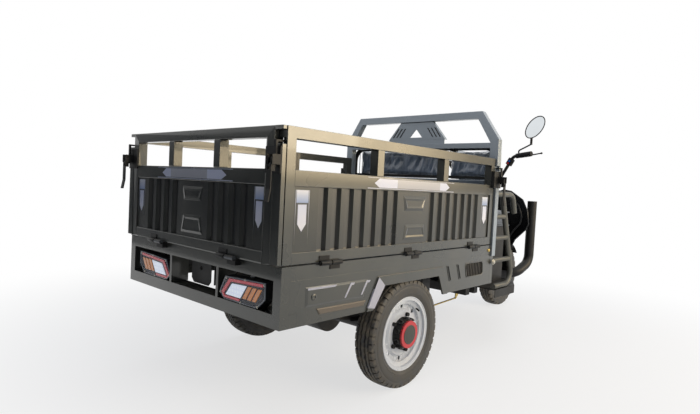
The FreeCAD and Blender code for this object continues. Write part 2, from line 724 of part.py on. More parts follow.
def side_skirt():
    out = -HALF_BOX

    def plate(points, y, sheet):
        return prism([station(x, y, z) for x, z in points], V(0, sheet, 0))

    arch = ((ARCH_REAR_STATION, SKIRT_BOTTOM), (ARCH_REAR_STATION + ARCH_REAR_RUN, ARCH_TOP),
            (ARCH_FRONT_STATION - ARCH_FRONT_RUN, ARCH_TOP), (ARCH_FRONT_STATION, SKIRT_BOTTOM))
    skirt = plate(((BEAM_WIDTH, SKIRT_BOTTOM), *arch, (BOX_LENGTH, SKIRT_BOTTOM),
                   (BOX_LENGTH, BEAM_BOTTOM), (BEAM_WIDTH, BEAM_BOTTOM)), out, SKIRT_SHEET)
    lean = SKIRT_WINDOW_LEAN
    left = BOX_LENGTH - SKIRT_WINDOW_SETBACK
    right = left + SKIRT_WINDOW_LENGTH
    high = SKIRT_WINDOW_BOTTOM + SKIRT_WINDOW_HEIGHT
    holes = [((left + lean, SKIRT_WINDOW_BOTTOM), (right, SKIRT_WINDOW_BOTTOM), (right - lean / 2, high),
              (left, high))]
    for share in SKIRT_SLOT_SHARES:
        start = ARCH_FRONT_STATION + share * (left - ARCH_FRONT_STATION)
        holes.append(((start + SKIRT_SLOT_LEAN, SKIRT_WINDOW_BOTTOM),
                      (start + SKIRT_SLOT_LEAN + SKIRT_SLOT_WIDTH, SKIRT_WINDOW_BOTTOM),
                      (start + SKIRT_SLOT_WIDTH, high), (start, high)))
    for hole in holes:
        skirt = skirt.cut(plate(hole, out, SKIRT_SHEET))
    rim = ((ARCH_REAR_STATION - ARCH_BAND, SKIRT_BOTTOM),
           (ARCH_REAR_STATION + ARCH_REAR_RUN - ARCH_BAND, ARCH_TOP + ARCH_BAND),
           (ARCH_FRONT_STATION - ARCH_FRONT_RUN + ARCH_BAND, ARCH_TOP + ARCH_BAND),
           (ARCH_FRONT_STATION + ARCH_BAND, SKIRT_BOTTOM))
    bands = []
    for first in range(len(arch) - 1):
        last = first + 1
        bands.append(plate((arch[first], arch[last], rim[last], rim[first]),
                           out - ARCH_BAND_SHEET, ARCH_BAND_SHEET))
    sill = block(V(REAR_X, -HALF_BOX, SKIRT_BOTTOM), V(REAR_X + REAR_SILL_DEPTH, HALF_BOX, SILL_TOP))
    return fused([skirt.cut(sill)] + bands)


def guard_outline():
    """Outer and inner corner points of the guard tube, right half, from the foot to the middle."""
    outer = [(GUARD_HALF_WIDTH, FRONT_POST_TOP), (GUARD_HALF_WIDTH, GUARD_KNEE),
             (GUARD_TOP_HALF_WIDTH, GUARD_TOP), (0, GUARD_TOP)]
    top_in = GUARD_TOP - GUARD_TOP_BAR
    slope = math.atan2(GUARD_HALF_WIDTH - GUARD_TOP_HALF_WIDTH, GUARD_TOP - GUARD_KNEE)
    knee = GUARD_KNEE - GUARD_LEG_WIDTH * math.tan(slope / 2)
    inset = GUARD_TOP_BAR * math.tan((math.pi / 2 - slope) / 2)
    leg_in = GUARD_HALF_WIDTH - GUARD_LEG_WIDTH
    inner = [(leg_in, FRONT_POST_TOP), (leg_in, knee), (GUARD_TOP_HALF_WIDTH - inset, top_in), (0, top_in)]
    return outer, inner


def head_guard():
    outer, inner = guard_outline()
    deep = V(GUARD_DEPTH, 0, 0)

    def bar(points):
        return prism([V(GUARD_X, -y, z) for y, z in points], deep)

    leg = bar((outer[0], outer[1], inner[1], inner[0])).cut(at_front_latch(notch(HOOK_SLACK)))
    slope = bar((outer[1], outer[2], inner[2], inner[1]))
    solids = both_sides([leg, slope])
    top_left = [(-y, z) for y, z in (inner[2], outer[2])]
    solids.append(bar([outer[2], inner[2]] + top_left))
    half_in = GUARD_HALF_WIDTH - GUARD_LEG_WIDTH
    solids.append(block(V(GUARD_X, -half_in, CROSSBAR_BOTTOM),
                        V(GUARD_X + GUARD_DEPTH, half_in, CROSSBAR_TOP)))
    return solids + guard_plate()


def guard_plate():
    """Folded plate below the top bar, with a triangle and slanted slots, tied to the crossbar."""
    top = GUARD_TOP - GUARD_TOP_BAR
    rear = GUARD_X + GUARD_DEPTH - GUARD_PLATE_FOLD
    sheet = V(GUARD_PLATE_SHEET, 0, 0)
    bottom = CROSSBAR_TOP + GUARD_TIE_HEIGHT
    height = top - bottom
    corners = [(GUARD_PLATE_TOP_HALF, top), (-GUARD_PLATE_TOP_HALF, top),
               (-GUARD_PLATE_BOTTOM_HALF, bottom), (GUARD_PLATE_BOTTOM_HALF, bottom)]
    plate = prism([V(rear, y, z) for y, z in corners], sheet)
    low = bottom + height * GUARD_TRIANGLE_RISE_SHARE
    triangle = ((0, low + height * GUARD_TRIANGLE_SHARE), (-GUARD_TRIANGLE_HALF, low),
                (GUARD_TRIANGLE_HALF, low))
    holes = [triangle]
    for number in range(GUARD_SLOTS):
        foot = GUARD_SLOT_START + GUARD_SLOT_PITCH * number + GUARD_SLOT_LEAN
        head = foot - GUARD_SLOT_LEAN
        high = low + height * GUARD_SLOT_SHARE
        slot = ((foot, low), (foot + GUARD_SLOT_WIDTH, low), (head + GUARD_SLOT_WIDTH, high), (head, high))
        for side in (-1, 1):
            holes.append([(side * y, z) for y, z in slot])
    for hole in holes:
        plate = plate.cut(prism([V(rear, y, z) for y, z in hole], sheet))
    fold = V(GUARD_PLATE_FOLD - GUARD_PLATE_SHEET, 0, 0)
    solids = [plate]
    for side in (-1, 1):
        edge = [(side * GUARD_PLATE_TOP_HALF, top), (side * GUARD_PLATE_BOTTOM_HALF, bottom),
                (side * (GUARD_PLATE_BOTTOM_HALF - GUARD_PLATE_SHEET), bottom),
                (side * (GUARD_PLATE_TOP_HALF - GUARD_PLATE_SHEET), top)]
        solids.append(prism([V(rear, y, z) + sheet for y, z in edge], fold))
        centre = side * GUARD_PLATE_TOP_HALF
        solids.append(block(V(rear, centre - GUARD_TIE_HALF, CROSSBAR_TOP),
                            V(rear, centre + GUARD_TIE_HALF, bottom) + sheet))
    return solids


def front_wall():
    """Fixed front of the box between the guard legs: frame bars and a ribbed sheet."""
    half_in = GUARD_HALF_WIDTH - GUARD_LEG_WIDTH
    top_rail = block(V(GUARD_X, -half_in, FRONT_WALL_TOP - GATE_TUBE),
                     V(GUARD_X + GUARD_DEPTH, half_in, FRONT_WALL_TOP))
    low_rail = block(V(GUARD_X, -half_in, BED_TOP), V(GUARD_X + GUARD_DEPTH, half_in, BED_TOP + GATE_TUBE))
    sheet = block(V(GUARD_X, -half_in, BED_TOP + GATE_TUBE),
                  V(GUARD_X + PANEL_SHEET, half_in, FRONT_WALL_TOP - GATE_TUBE))
    return [top_rail, low_rail, sheet]


# Backrest, clips and driver's place

HOOP_X = GUARD_X + HOOP_AHEAD
HOOP_CENTRE = HOOP_TOP - HOOP_RADIUS
PAD_X = HOOP_X + HOOP_RADIUS


def backrest_frame():
    foot = V(HOOP_X, -HOOP_HALF_WIDTH, ARM_REST_TOP)
    shoulder = V(HOOP_X, -HOOP_HALF_WIDTH, HOOP_CENTRE)
    hoop = bent_tube([foot, shoulder, flip(shoulder), flip(foot)], HOOP_BEND, HOOP_RADIUS)
    half = HOOP_HALF_WIDTH - HOOP_RADIUS / 2
    strap = block(V(HOOP_X, -half, PAD_BOTTOM), V(PAD_X, half, PAD_BOTTOM + HOOP_RADIUS))
    return hoop.fuse(strap).removeSplitter()


def rounded_outline(low, high, corner, place):
    """Closed outline with round corners; place turns two flat coordinates into a point."""
    edges = []
    turn = corner * (1 - math.cos(math.pi / 4))
    spots = ((low[0], low[1], 1, 1), (high[0], low[1], -1, 1),
             (high[0], high[1], -1, -1), (low[0], high[1], 1, -1))
    arcs = []
    for number, (a, b, da, db) in enumerate(spots):
        along_b = (a, b + db * corner)
        along_a = (a + da * corner, b)
        middle = (a + da * turn, b + db * turn)
        ends = (along_b, along_a) if number % 2 == 0 else (along_a, along_b)
        arcs.append((place(*ends[0]), place(*middle), place(*ends[1])))
    for number, (first, middle, last) in enumerate(arcs):
        edges.append(Part.Arc(first, middle, last).toShape())
        edges.append(Part.LineSegment(last, arcs[(number + 1) % len(arcs)][0]).toShape())
    return Part.Wire(edges)


def padded_block(low, high, corner, place, levels):
    """Cushion lofted through round outlines; each level has a height and how far it is drawn in."""
    wires = []
    for level, inset in levels:
        wires.append(rounded_outline((low[0] + inset, low[1] + inset), (high[0] - inset, high[1] - inset),
                                     corner - inset, lambda a, b, level=level: place(a, b, level)))
    return Part.makeLoft(wires, True)


def backrest_pads():
    levels = [(PAD_DEPTH * depth_share, PAD_CROWN * crown_share)
              for depth_share, crown_share in PAD_LEVEL_SHARES]
    pads = []
    for shares in PAD_EDGE_SHARES:
        left, right = [HOOP_HALF_WIDTH * share for share in shares]
        pads.append(padded_block((left, PAD_BOTTOM), (right, PAD_TOP), PAD_CORNER,
                                 lambda a, b, level: V(PAD_X + level, a, b), levels))
    return pads


def seat_cushion():
    rear = GUARD_X + SEAT_BOX_AHEAD
    low = SEAT_BOX_TOP + SEAT_GAP
    levels = [(SEAT_HEIGHT * height_share, SEAT_CROWN * crown_share)
              for height_share, crown_share in SEAT_LEVEL_SHARES]
    return padded_block((rear, -SEAT_HALF), (rear + SEAT_LENGTH, SEAT_HALF), SEAT_CORNER,
                        lambda a, b, level: V(a, b, low + level), levels)


SEAT_HINGE = V(GUARD_X + SEAT_BOX_AHEAD + SEAT_BOX_LENGTH, 0, SEAT_BOX_TOP)


def seat_hinge(moving):
    """Barrels under the front edge of the seat; the fixed ones carry the pin."""
    axis = SEAT_HINGE + V(SEAT_HINGE_RADIUS, 0, -SEAT_HINGE_RADIUS)
    half_leaf = SEAT_HINGE_RADIUS / 2
    pieces = []
    for side in (-1, 1):
        start = axis + V(0, side * SEAT_BOX_HALF * SEAT_HINGE_SHARE, 0)
        middle = start + V(0, SEAT_HINGE_WIDTH / 2, 0)
        end = start + V(0, SEAT_HINGE_WIDTH, 0)
        if moving:
            barrel = rod(start, middle, SEAT_HINGE_RADIUS)
            leaf = block(start + V(-half_leaf, 0, 0),
                         middle + V(half_leaf, 0, SEAT_HINGE_RADIUS + SEAT_GAP))
            bore = rod(start, middle, SEAT_PIN_RADIUS + HINGE_CLEARANCE)
            pieces.append(barrel.fuse(leaf).removeSplitter().cut(bore))
        else:
            first = middle + V(0, LATCH_GAP, 0)
            barrel = rod(first, end, SEAT_HINGE_RADIUS)
            leaf = block(first + V(-SEAT_HINGE_RADIUS, 0, -SEAT_HINGE_RADIUS), end)
            pieces.append(fused([barrel, leaf, rod(start, first, SEAT_PIN_RADIUS)]))
    return pieces


def seat_box():
    rear = GUARD_X + SEAT_BOX_AHEAD
    front = rear + SEAT_BOX_LENGTH
    sheet = SEAT_BOX_SHEET
    side = block(V(rear, -SEAT_BOX_HALF, FOOT_TOP), V(front, -SEAT_BOX_HALF + sheet, SEAT_BOX_TOP))
    half_in = SEAT_BOX_HALF - sheet
    walls = [block(V(x, -half_in, FOOT_TOP), V(x + sheet, half_in, SEAT_BOX_TOP))
             for x in (rear, front - sheet)]
    return both_sides([side]) + walls + seat_hinge(False)


def battery_and_controller():
    rear = GUARD_X + SEAT_BOX_AHEAD + BATTERY_END_GAP
    start = BATTERY_MARGIN - SEAT_BOX_HALF
    pitch = (BATTERY_GAP - 2 * start) / BATTERY_COUNT
    solids = []
    for number in range(BATTERY_COUNT):
        low = V(rear, start + pitch * number, FOOT_TOP)
        solids.append(block(low, low + V(BATTERY_LENGTH, pitch - BATTERY_GAP, BATTERY_HEIGHT)))
    size = V(*CONTROLLER_SIZE)
    low = V(rear + (BATTERY_LENGTH - size.x) / 2, -size.y / 2, FOOT_TOP + BATTERY_HEIGHT)
    solids.append(block(low, low + size))
    return solids


def footboard():
    rear, wide, front = FOOT_REAR_AHEAD, FOOT_WIDE_AHEAD, FOOT_FRONT_AHEAD
    corners = [(rear, -FOOT_HALF_WIDTH), (wide, -FOOT_HALF_WIDTH), (front, -FOOT_FRONT_HALF),
               (front, FOOT_FRONT_HALF), (wide, FOOT_HALF_WIDTH), (rear, FOOT_HALF_WIDTH)]
    plate = prism([ahead(x, y, FOOT_BOTTOM) for x, y in corners], V(0, 0, FOOT_SHEET))
    drop = V(0, 0, FOOT_SHEET - FOOT_FLANGE)
    inward = V(0, FOOT_FLANGE_SHEET, 0)
    flanges = []
    for first, last in (corners[:2], corners[1:3]):
        start, end = ahead(*first, FOOT_BOTTOM), ahead(*last, FOOT_BOTTOM)
        flanges.append(prism([start, end, end + inward, start + inward], drop))
    return [plate] + both_sides(flanges)


def side_guard():
    y = SIDE_GUARD_INSET - HALF_BOX
    arm = ARM_REST_TOP - SIDE_GUARD_RADIUS
    low = FOOT_TOP + SIDE_GUARD_RADIUS
    start = GUARD_DEPTH
    rest = bent_tube([ahead(start, y, arm), ahead(start + ARM_REST_REACH, y, arm),
                      ahead(ARM_REST_END_AHEAD, y, ARM_REST_END)], ARM_REST_BEND, SIDE_GUARD_RADIUS)
    bar = bent_tube([ahead(GUARD_BAR_TOP_AHEAD, y, arm), ahead(GUARD_BAR_LOW_AHEAD, y, low),
                     ahead(FOOT_REAR_AHEAD, y, low)], GUARD_BAR_BEND, SIDE_GUARD_RADIUS)
    pieces = [rest, bar]
    for height in GUARD_RUNGS:
        share = (arm - height) / (arm - low)
        end = GUARD_BAR_TOP_AHEAD + share * (GUARD_BAR_LOW_AHEAD - GUARD_BAR_TOP_AHEAD)
        pieces.append(rod(ahead(start, y, height), ahead(end, y, height), RUNG_RADIUS))
    return fused(pieces)


def backrest_clips():
    """Clips that hold the backrest hoop on the guard crossbar."""
    front = HOOP_X + HOOP_RADIUS / 2
    reach = HOOP_RADIUS + CLIP_WALL
    tube = rod(V(HOOP_X, -HALF_BOX, HOOP_CENTRE), V(HOOP_X, HALF_BOX, HOOP_CENTRE), HOOP_RADIUS)
    clips = []
    for side in (-1, 1):
        centre = side * CLIP_OFFSET
        clip = block(V(GUARD_X + GUARD_DEPTH, centre - CLIP_WIDTH / 2, HOOP_CENTRE - reach),
                     V(front, centre + CLIP_WIDTH / 2, HOOP_CENTRE + reach))
        clips.append(clip.cut(tube))
    return clips


# Rear lamps and plate bracket

def lamp_piece(points, setback, depth):
    return prism([V(REAR_X + setback, y - HALF_BOX, SILL_TOP + z) for y, z in points], V(depth, 0, 0))


def tail_lamps():
    housings = both_sides([lamp_piece(LAMP_OUTLINE, LAMP_SETBACK, LAMP_DEPTH)])
    face = LAMP_SETBACK - LAMP_LIGHT_SHEET
    lights = [lamp_piece(LAMP_RED, face, LAMP_LIGHT_SHEET), lamp_piece(LAMP_CLEAR, face, LAMP_LIGHT_SHEET)]
    for bar in range(LAMP_AMBER_BARS):
        points = [(y - bar * LAMP_AMBER_PITCH, z) for y, z in LAMP_AMBER]
        lights.append(lamp_piece(points, face, LAMP_LIGHT_SHEET))
    return housings, both_sides(lights)


def plate_bracket():
    face = REAR_X + BEAM_WIDTH
    low, high = BED_TOP - BEAM_HEIGHT - PLATE_HEIGHT, BED_TOP - FLOOR_SHEET
    inner = PLATE_HALF - PLATE_CHAMFER
    corners = [(PLATE_HALF, high), (-PLATE_HALF, high), (-PLATE_HALF, low + PLATE_CHAMFER), (-inner, low),
               (inner, low), (PLATE_HALF, low + PLATE_CHAMFER)]
    plate = prism([V(face, y, z) for y, z in corners], V(PLATE_SHEET, 0, 0))
    centre = V(face, 0, BEAM_BOTTOM - PLATE_HOLE_DROP)
    return plate.cut(rod(centre, centre + V(PLATE_SHEET, 0, 0), PLATE_HOLE_RADIUS))


# Main frame

def fork_point(x, y, z):
    """Point of the fork's own frame in vehicle axes."""
    turn = FreeCAD.Rotation(Y_AXIS, -RAKE_DEGREES)
    return turn.multVec(V(x, y, z)) + V(FRONT_AXLE_X, 0, TYRE_RADIUS)


def in_fork(shape):
    copy = shape.copy()
    copy.rotate(ORIGIN, Y_AXIS, -RAKE_DEGREES)
    copy.translate(V(FRONT_AXLE_X, 0, TYRE_RADIUS))
    return copy


def chassis_frame():
    rail_in = RAIL_OFFSET - RAIL_WIDTH / 2
    rail_out = RAIL_OFFSET + RAIL_WIDTH / 2
    low_in = LOW_RAIL_OFFSET - RAIL_WIDTH / 2
    low_out = LOW_RAIL_OFFSET + RAIL_WIDTH / 2
    drop_end = DROP_AHEAD + DROP_LENGTH
    rail = block(station(FRAME_REAR_STATION, -rail_out, RAIL_BOTTOM), ahead(drop_end, -rail_in, RAIL_TOP))
    post = block(ahead(DROP_AHEAD, -rail_out, FOOT_BOTTOM), ahead(drop_end, -rail_in, RAIL_BOTTOM))
    low_rail = block(ahead(drop_end, -low_out, LOW_RAIL_BOTTOM),
                     ahead(LOW_RAIL_FRONT_AHEAD, -low_in, FOOT_BOTTOM))
    solids = [rail, post, low_rail]
    for start in LOW_CROSSES_AHEAD:
        solids.append(block(ahead(start, -FOOT_HALF_WIDTH * LOW_CROSS_SHARE, LOW_RAIL_BOTTOM),
                            ahead(start + RAIL_WIDTH, -low_out, FOOT_BOTTOM)))
    solids = both_sides(solids + spring_hangers())
    solids.append(block(ahead(DROP_AHEAD, -rail_out, LOW_RAIL_BOTTOM),
                        ahead(drop_end, rail_out, FOOT_BOTTOM)))
    for start in LOW_CROSSES_AHEAD:
        solids.append(block(ahead(start, -low_in, LOW_RAIL_BOTTOM),
                            ahead(start + RAIL_WIDTH, low_in, FOOT_BOTTOM)))
    solids.append(front_cross())
    return solids + [neck()]


def front_cross():
    half = LOW_RAIL_OFFSET + RAIL_WIDTH / 2
    return block(ahead(LOW_RAIL_FRONT_AHEAD, -half, LOW_RAIL_BOTTOM),
                 ahead(LOW_RAIL_FRONT_AHEAD + FRONT_CROSS_LENGTH, half, FOOT_BOTTOM))


def neck():
    low = YOKE_LOW + YOKE_THICKNESS / 2 + HEAD_TUBE_GAP
    high = YOKE_HIGH - YOKE_THICKNESS / 2 - HEAD_TUBE_GAP
    bottom, top = fork_point(-FORK_OFFSET, 0, low), fork_point(-FORK_OFFSET, 0, high)
    meeting = bottom + (top - bottom) * NECK_TOP_SHARE
    post = rod(ahead(NECK_FOOT_AHEAD, 0, FOOT_BOTTOM), meeting, NECK_RADIUS).cut(front_cross())
    head = rod(bottom, top, HEAD_TUBE_RADIUS)
    return post.fuse(head).removeSplitter().cut(rod(bottom, top, STEM_RADIUS + STEM_CLEARANCE))


def spring_hangers():
    half = SPRING_WIDTH / 2 + HANGER_GAP
    solids = []
    pin = SPRING_EYE_BORE - HINGE_CLEARANCE
    for x in (SPRING_REAR_STATION, SPRING_FRONT_STATION):
        eye = station(x, -RAIL_OFFSET, SPRING_EYE_HEIGHT)
        head = station(x, -RAIL_OFFSET, RAIL_BOTTOM)
        along = V(HANGER_LENGTH / 2, 0, 0)
        plates = []
        for inner in (-half - HANGER_SHEET, half):
            plates.append(block(eye - along + V(0, inner, -SPRING_EYE_RADIUS),
                                head + along + V(0, inner + HANGER_SHEET, 0)))
        plates.append(block(head - along - V(0, half, HANGER_SHEET), head + along + V(0, half, 0)))
        plates.append(rod(eye - V(0, half, 0), eye + V(0, half, 0), pin))
        solids.append(fused(plates))
    return solids


def leaf_spring():
    """Leaf stack: the main leaf ends in two eyes, the shorter leaves lie below it on the axle."""
    seat = TYRE_RADIUS + AXLE_RADIUS + AXLE_SEAT
    half_span = (SPRING_FRONT_STATION - SPRING_REAR_STATION) / 2
    middle = (SPRING_FRONT_STATION + SPRING_REAR_STATION) / 2
    main_low = seat + SPRING_LEAF * (SPRING_LEAVES - 1)
    sag = SPRING_EYE_HEIGHT - SPRING_EYE_RADIUS - main_low
    radius = (half_span * half_span + sag * sag) / (2 * sag)
    y = -RAIL_OFFSET - SPRING_WIDTH / 2
    solids = []
    for number in range(SPRING_LEAVES):
        reach = half_span * (1 - SPRING_LEAF_STEP_SHARE * number)
        low = main_low - SPRING_LEAF * number
        arcs = []
        for bend, height in ((radius + SPRING_LEAF * number, low),
                             (radius + SPRING_LEAF * (number - 1), low + SPRING_LEAF)):
            rise = bend - math.sqrt(bend * bend - reach * reach)
            arcs.append((station(middle - reach, y, height + rise), station(middle, y, height),
                         station(middle + reach, y, height + rise)))
        edges = [Part.Arc(*arcs[0]).toShape(), Part.LineSegment(arcs[0][2], arcs[1][2]).toShape(),
                 Part.Arc(*reversed(arcs[1])).toShape(), Part.LineSegment(arcs[1][0], arcs[0][0]).toShape()]
        leaf = Part.Face(Part.Wire(edges)).extrude(V(0, SPRING_WIDTH, 0))
        if number == 0:
            for x in (SPRING_REAR_STATION, SPRING_FRONT_STATION):
                eye = station(x, y, SPRING_EYE_HEIGHT)
                leaf = leaf.fuse(rod(eye, eye + V(0, SPRING_WIDTH, 0), SPRING_EYE_RADIUS))
                leaf = leaf.cut(rod(eye, eye + V(0, SPRING_WIDTH, 0), SPRING_EYE_BORE))
        solids.append(leaf)
    return solids


# Rear axle and wheels. Wheels are drawn round Y at the origin, outside towards plus Y.

def rear_axle():
    centre = V(REAR_AXLE_X, 0, TYRE_RADIUS)
    end = V(0, AXLE_END, 0)
    bore = HALF_SHAFT_RADIUS + SHAFT_CLEARANCE
    plate_in = V(0, BACKPLATE_SHEET, 0)
    pieces = [rod(centre - end, centre + end, AXLE_RADIUS),
              rod(centre - V(0, DIFF_WIDTH / 2, 0), centre + V(0, DIFF_WIDTH / 2, 0), DIFF_RADIUS)]
    for side in (-1, 1):
        tip = centre + end * side
        pieces.append(rod(tip, tip + plate_in * side, BACKPLATE_RADIUS))
        seat = centre + V(0, side * RAIL_OFFSET, 0)
        pieces.append(block(seat - V(AXLE_SEAT_LENGTH / 2, SPRING_WIDTH / 2, 0),
                            seat + V(AXLE_SEAT_LENGTH / 2, SPRING_WIDTH / 2, AXLE_RADIUS + AXLE_SEAT)))
    motor = motor_centre()
    case = V(0, GEAR_CASE_WIDTH, 0)
    side = V(0, DIFF_WIDTH / 2, 0)
    reach = V(motor.x - centre.x, 0, 0)
    rise = V(0, 0, MOTOR_NOSE_RADIUS)
    pieces.append(rod(motor + side, motor + side + case, MOTOR_NOSE_RADIUS))
    pieces.append(block(centre + side - rise, centre + side + case + reach + rise))
    housing = fused(pieces)
    for side in (-1, 1):
        tip = centre + (end + plate_in) * side
        housing = housing.cut(rod(tip, tip - V(0, side * SHAFT_BORE_DEPTH, 0), bore))
    return housing


def motor_centre():
    return V(REAR_AXLE_X + MOTOR_STEP, 0, TYRE_RADIUS + MOTOR_RISE)


def drive_motor():
    face = motor_centre() + V(0, DIFF_WIDTH / 2, 0)
    return rod(face - V(0, MOTOR_LENGTH, 0), face, MOTOR_RADIUS)


def turned(profile):
    """Ring turned round Y from pairs of offset along the axle and radius."""
    outline = Part.makePolygon([V(r, a, 0) for a, r in profile] + [V(profile[0][1], profile[0][0], 0)])
    return Part.Face(outline).revolve(ORIGIN, Y_AXIS, 360)


def tyre(width):
    half = width / 2
    bead = half * RIM_WIDTH_SHARE - RIM_SHEET - BEAD_GAP
    seat = RIM_SEAT_RADIUS + BEAD_GAP
    clinch = RIM_RADIUS + BEAD_GAP
    shoulder = half * TYRE_SHOULDER_SHARE
    crown = clinch + (TYRE_RADIUS - clinch) * TYRE_CROWN_SHARE
    belly = (clinch + crown) / 2

    def spot(along, radius):
        return V(radius, along, 0)

    edges = [Part.LineSegment(spot(-bead, seat), spot(-bead, clinch)).toShape(),
             Part.Arc(spot(-bead, clinch), spot(-half, belly), spot(-shoulder, crown)).toShape(),
             Part.Arc(spot(-shoulder, crown), spot(0, TYRE_RADIUS), spot(shoulder, crown)).toShape(),
             Part.Arc(spot(shoulder, crown), spot(half, belly), spot(bead, clinch)).toShape(),
             Part.LineSegment(spot(bead, clinch), spot(bead, seat)).toShape(),
             Part.LineSegment(spot(bead, seat), spot(-bead, seat)).toShape()]
    return Part.Face(Part.Wire(edges)).revolve(ORIGIN, Y_AXIS, 360)


def rim(width, disc):
    half = width / 2 * RIM_WIDTH_SHARE
    well = half * RIM_WELL_SHARE
    slope = half * RIM_SLOPE_SHARE
    lip = half - RIM_SHEET
    low_seat = RIM_SEAT_RADIUS - RIM_SHEET
    low_well = RIM_WELL_RADIUS - RIM_SHEET
    half_face = [(well, RIM_WELL_RADIUS), (well + slope, RIM_SEAT_RADIUS), (lip, RIM_SEAT_RADIUS),
                 (lip, RIM_RADIUS), (half, RIM_RADIUS), (half, low_seat), (well + slope, low_seat),
                 (well, low_well)]
    profile = half_face + [(-a, r) for a, r in reversed(half_face)]
    outer = disc - DISC_STEP
    plate = turned([(disc, DISC_BORE), (disc, DISC_STEP_RADIUS), (outer, DISC_STEP_RADIUS + DISC_STEP),
                    (outer, low_well), (outer - DISC_SHEET, low_well),
                    (outer - DISC_SHEET, DISC_STEP_RADIUS + DISC_STEP),
                    (disc - DISC_SHEET, DISC_STEP_RADIUS), (disc - DISC_SHEET, DISC_BORE)])
    wheel = turned(profile).fuse(plate)
    for number in range(DISC_SLOTS):
        angle = 2 * math.pi * number / DISC_SLOTS
        spot = V(DISC_SLOT_CIRCLE * math.cos(angle), outer, DISC_SLOT_CIRCLE * math.sin(angle))
        wheel = wheel.cut(rod(spot, spot - V(0, DISC_SHEET, 0), DISC_SLOT_RADIUS))
    return wheel


def rear_hub():
    """Brake drum, half shaft and capped nose in one turned piece, with wheel nuts on the disc."""
    inner = DISC_OFFSET - DISC_SHEET
    open_end = AXLE_END + BACKPLATE_SHEET + DRUM_GAP - REAR_TRACK_HALF
    shaft_end = AXLE_END + BACKPLATE_SHEET - SHAFT_BORE_DEPTH + DRUM_GAP - REAR_TRACK_HALF
    nose = DISC_OFFSET + HUB_HEIGHT
    bore = DISC_BORE - BEAD_GAP
    hub = turned([(shaft_end, 0), (shaft_end, HALF_SHAFT_RADIUS), (inner - DRUM_WALL, HALF_SHAFT_RADIUS),
                  (inner - DRUM_WALL, DRUM_RADIUS - DRUM_WALL), (open_end, DRUM_RADIUS - DRUM_WALL),
                  (open_end, DRUM_RADIUS), (inner, DRUM_RADIUS), (inner, bore), (DISC_OFFSET, bore),
                  (DISC_OFFSET, HUB_RADIUS), (nose, HUB_NOSE_RADIUS), (nose, HUB_CAP_RADIUS),
                  (nose - HUB_RING_DEPTH, HUB_CAP_RADIUS), (nose - HUB_RING_DEPTH, 0)])
    solids = [hub]
    for number in range(HUB_NUTS):
        angle = 2 * math.pi * number / HUB_NUTS
        spot = V(HUB_NUT_CIRCLE * math.cos(angle), DISC_OFFSET, HUB_NUT_CIRCLE * math.sin(angle))
        solids.append(rod(spot, spot + V(0, HUB_NUT_HEIGHT, 0), HUB_NUT_RADIUS))
    return solids


def at_left_wheel(shape):
    return moved(shape, V(REAR_AXLE_X, REAR_TRACK_HALF, TYRE_RADIUS))


def front_hub():
    half = FRONT_HUB_HALF
    bore = FRONT_AXLE_RADIUS + SHAFT_CLEARANCE
    low = -DISC_SHEET
    radius = DISC_BORE - BEAD_GAP
    return turned([(-half, bore), (-half, FRONT_HUB_RADIUS), (low, FRONT_HUB_RADIUS), (low, radius),
                   (0, radius), (0, FRONT_HUB_RADIUS), (half, FRONT_HUB_RADIUS), (half, bore)])


# Fork, drawn in its own frame

def steering_fork():
    reach = YOKE_HIGH + YOKE_THICKNESS / 2
    half_yoke = V(0, 0, YOKE_THICKNESS / 2)
    pieces = []
    for height in (YOKE_LOW, YOKE_HIGH):
        spots = [V(0, -FORK_HALF, height), V(0, FORK_HALF, height), V(-FORK_OFFSET, 0, height)]
        pieces += [rod(spot - half_yoke, spot + half_yoke, YOKE_RADIUS) for spot in spots]
        pieces.append(prism([spot - half_yoke for spot in spots], half_yoke * 2))
        pieces.append(block(V(-YOKE_RADIUS, -FORK_HALF, height) - half_yoke,
                            V(YOKE_RADIUS, FORK_HALF, height) + half_yoke))
    for side in (-1, 1):
        y = side * FORK_HALF
        pieces.append(rod(V(0, y, STANCHION_BOTTOM), V(0, y, reach), STANCHION_RADIUS))
    pieces.append(rod(V(-FORK_OFFSET, 0, YOKE_LOW), V(-FORK_OFFSET, 0, reach), STEM_RADIUS))
    bar = fork_local(ahead(*BAR_CENTRE))
    wall = BAR_RADIUS + RISER_WALL
    for side in (-1, 1):
        y = side * RISER_OFFSET
        pieces.append(block(V(bar.x - wall, y - RISER_WIDTH / 2, YOKE_HIGH),
                            V(bar.x + wall, y + RISER_WIDTH / 2, bar.z + wall)))
    fork = fused(pieces)
    half = V(0, FORK_HALF, 0)
    return in_fork(fork.cut(rod(bar - half, bar + half, BAR_RADIUS + GRIP_CLEARANCE)))


def fork_local(point):
    turn = FreeCAD.Rotation(Y_AXIS, RAKE_DEGREES)
    return turn.multVec(point - V(FRONT_AXLE_X, 0, TYRE_RADIUS))


def fork_sliders():
    """Lower fork legs with the front axle between them and lugs for the mudguard."""
    pieces = []
    lug = MUDGUARD_STAY_WIDTH / 2
    for side in (-1, 1):
        y = side * FORK_HALF
        leg = rod(V(0, y, -SLIDER_BOTTOM), V(0, y, SLIDER_TOP), SLIDER_RADIUS)
        near, far = sorted((side * (MUDGUARD_HALF + MUDGUARD_STAY_SHEET), y))
        low = MUDGUARD_RADIUS - MUDGUARD_STAY
        boss = block(V(-lug, near, low - MUDGUARD_STAY), V(lug, far, low))
        bore = rod(V(0, y, SLIDER_FLOOR), V(0, y, SLIDER_TOP), STANCHION_RADIUS + STANCHION_CLEARANCE)
        pieces.append(leg.fuse(boss).cut(bore))
    pieces.append(rod(V(0, -FORK_HALF, 0), V(0, FORK_HALF, 0), FRONT_AXLE_RADIUS))
    return in_fork(fused(pieces))


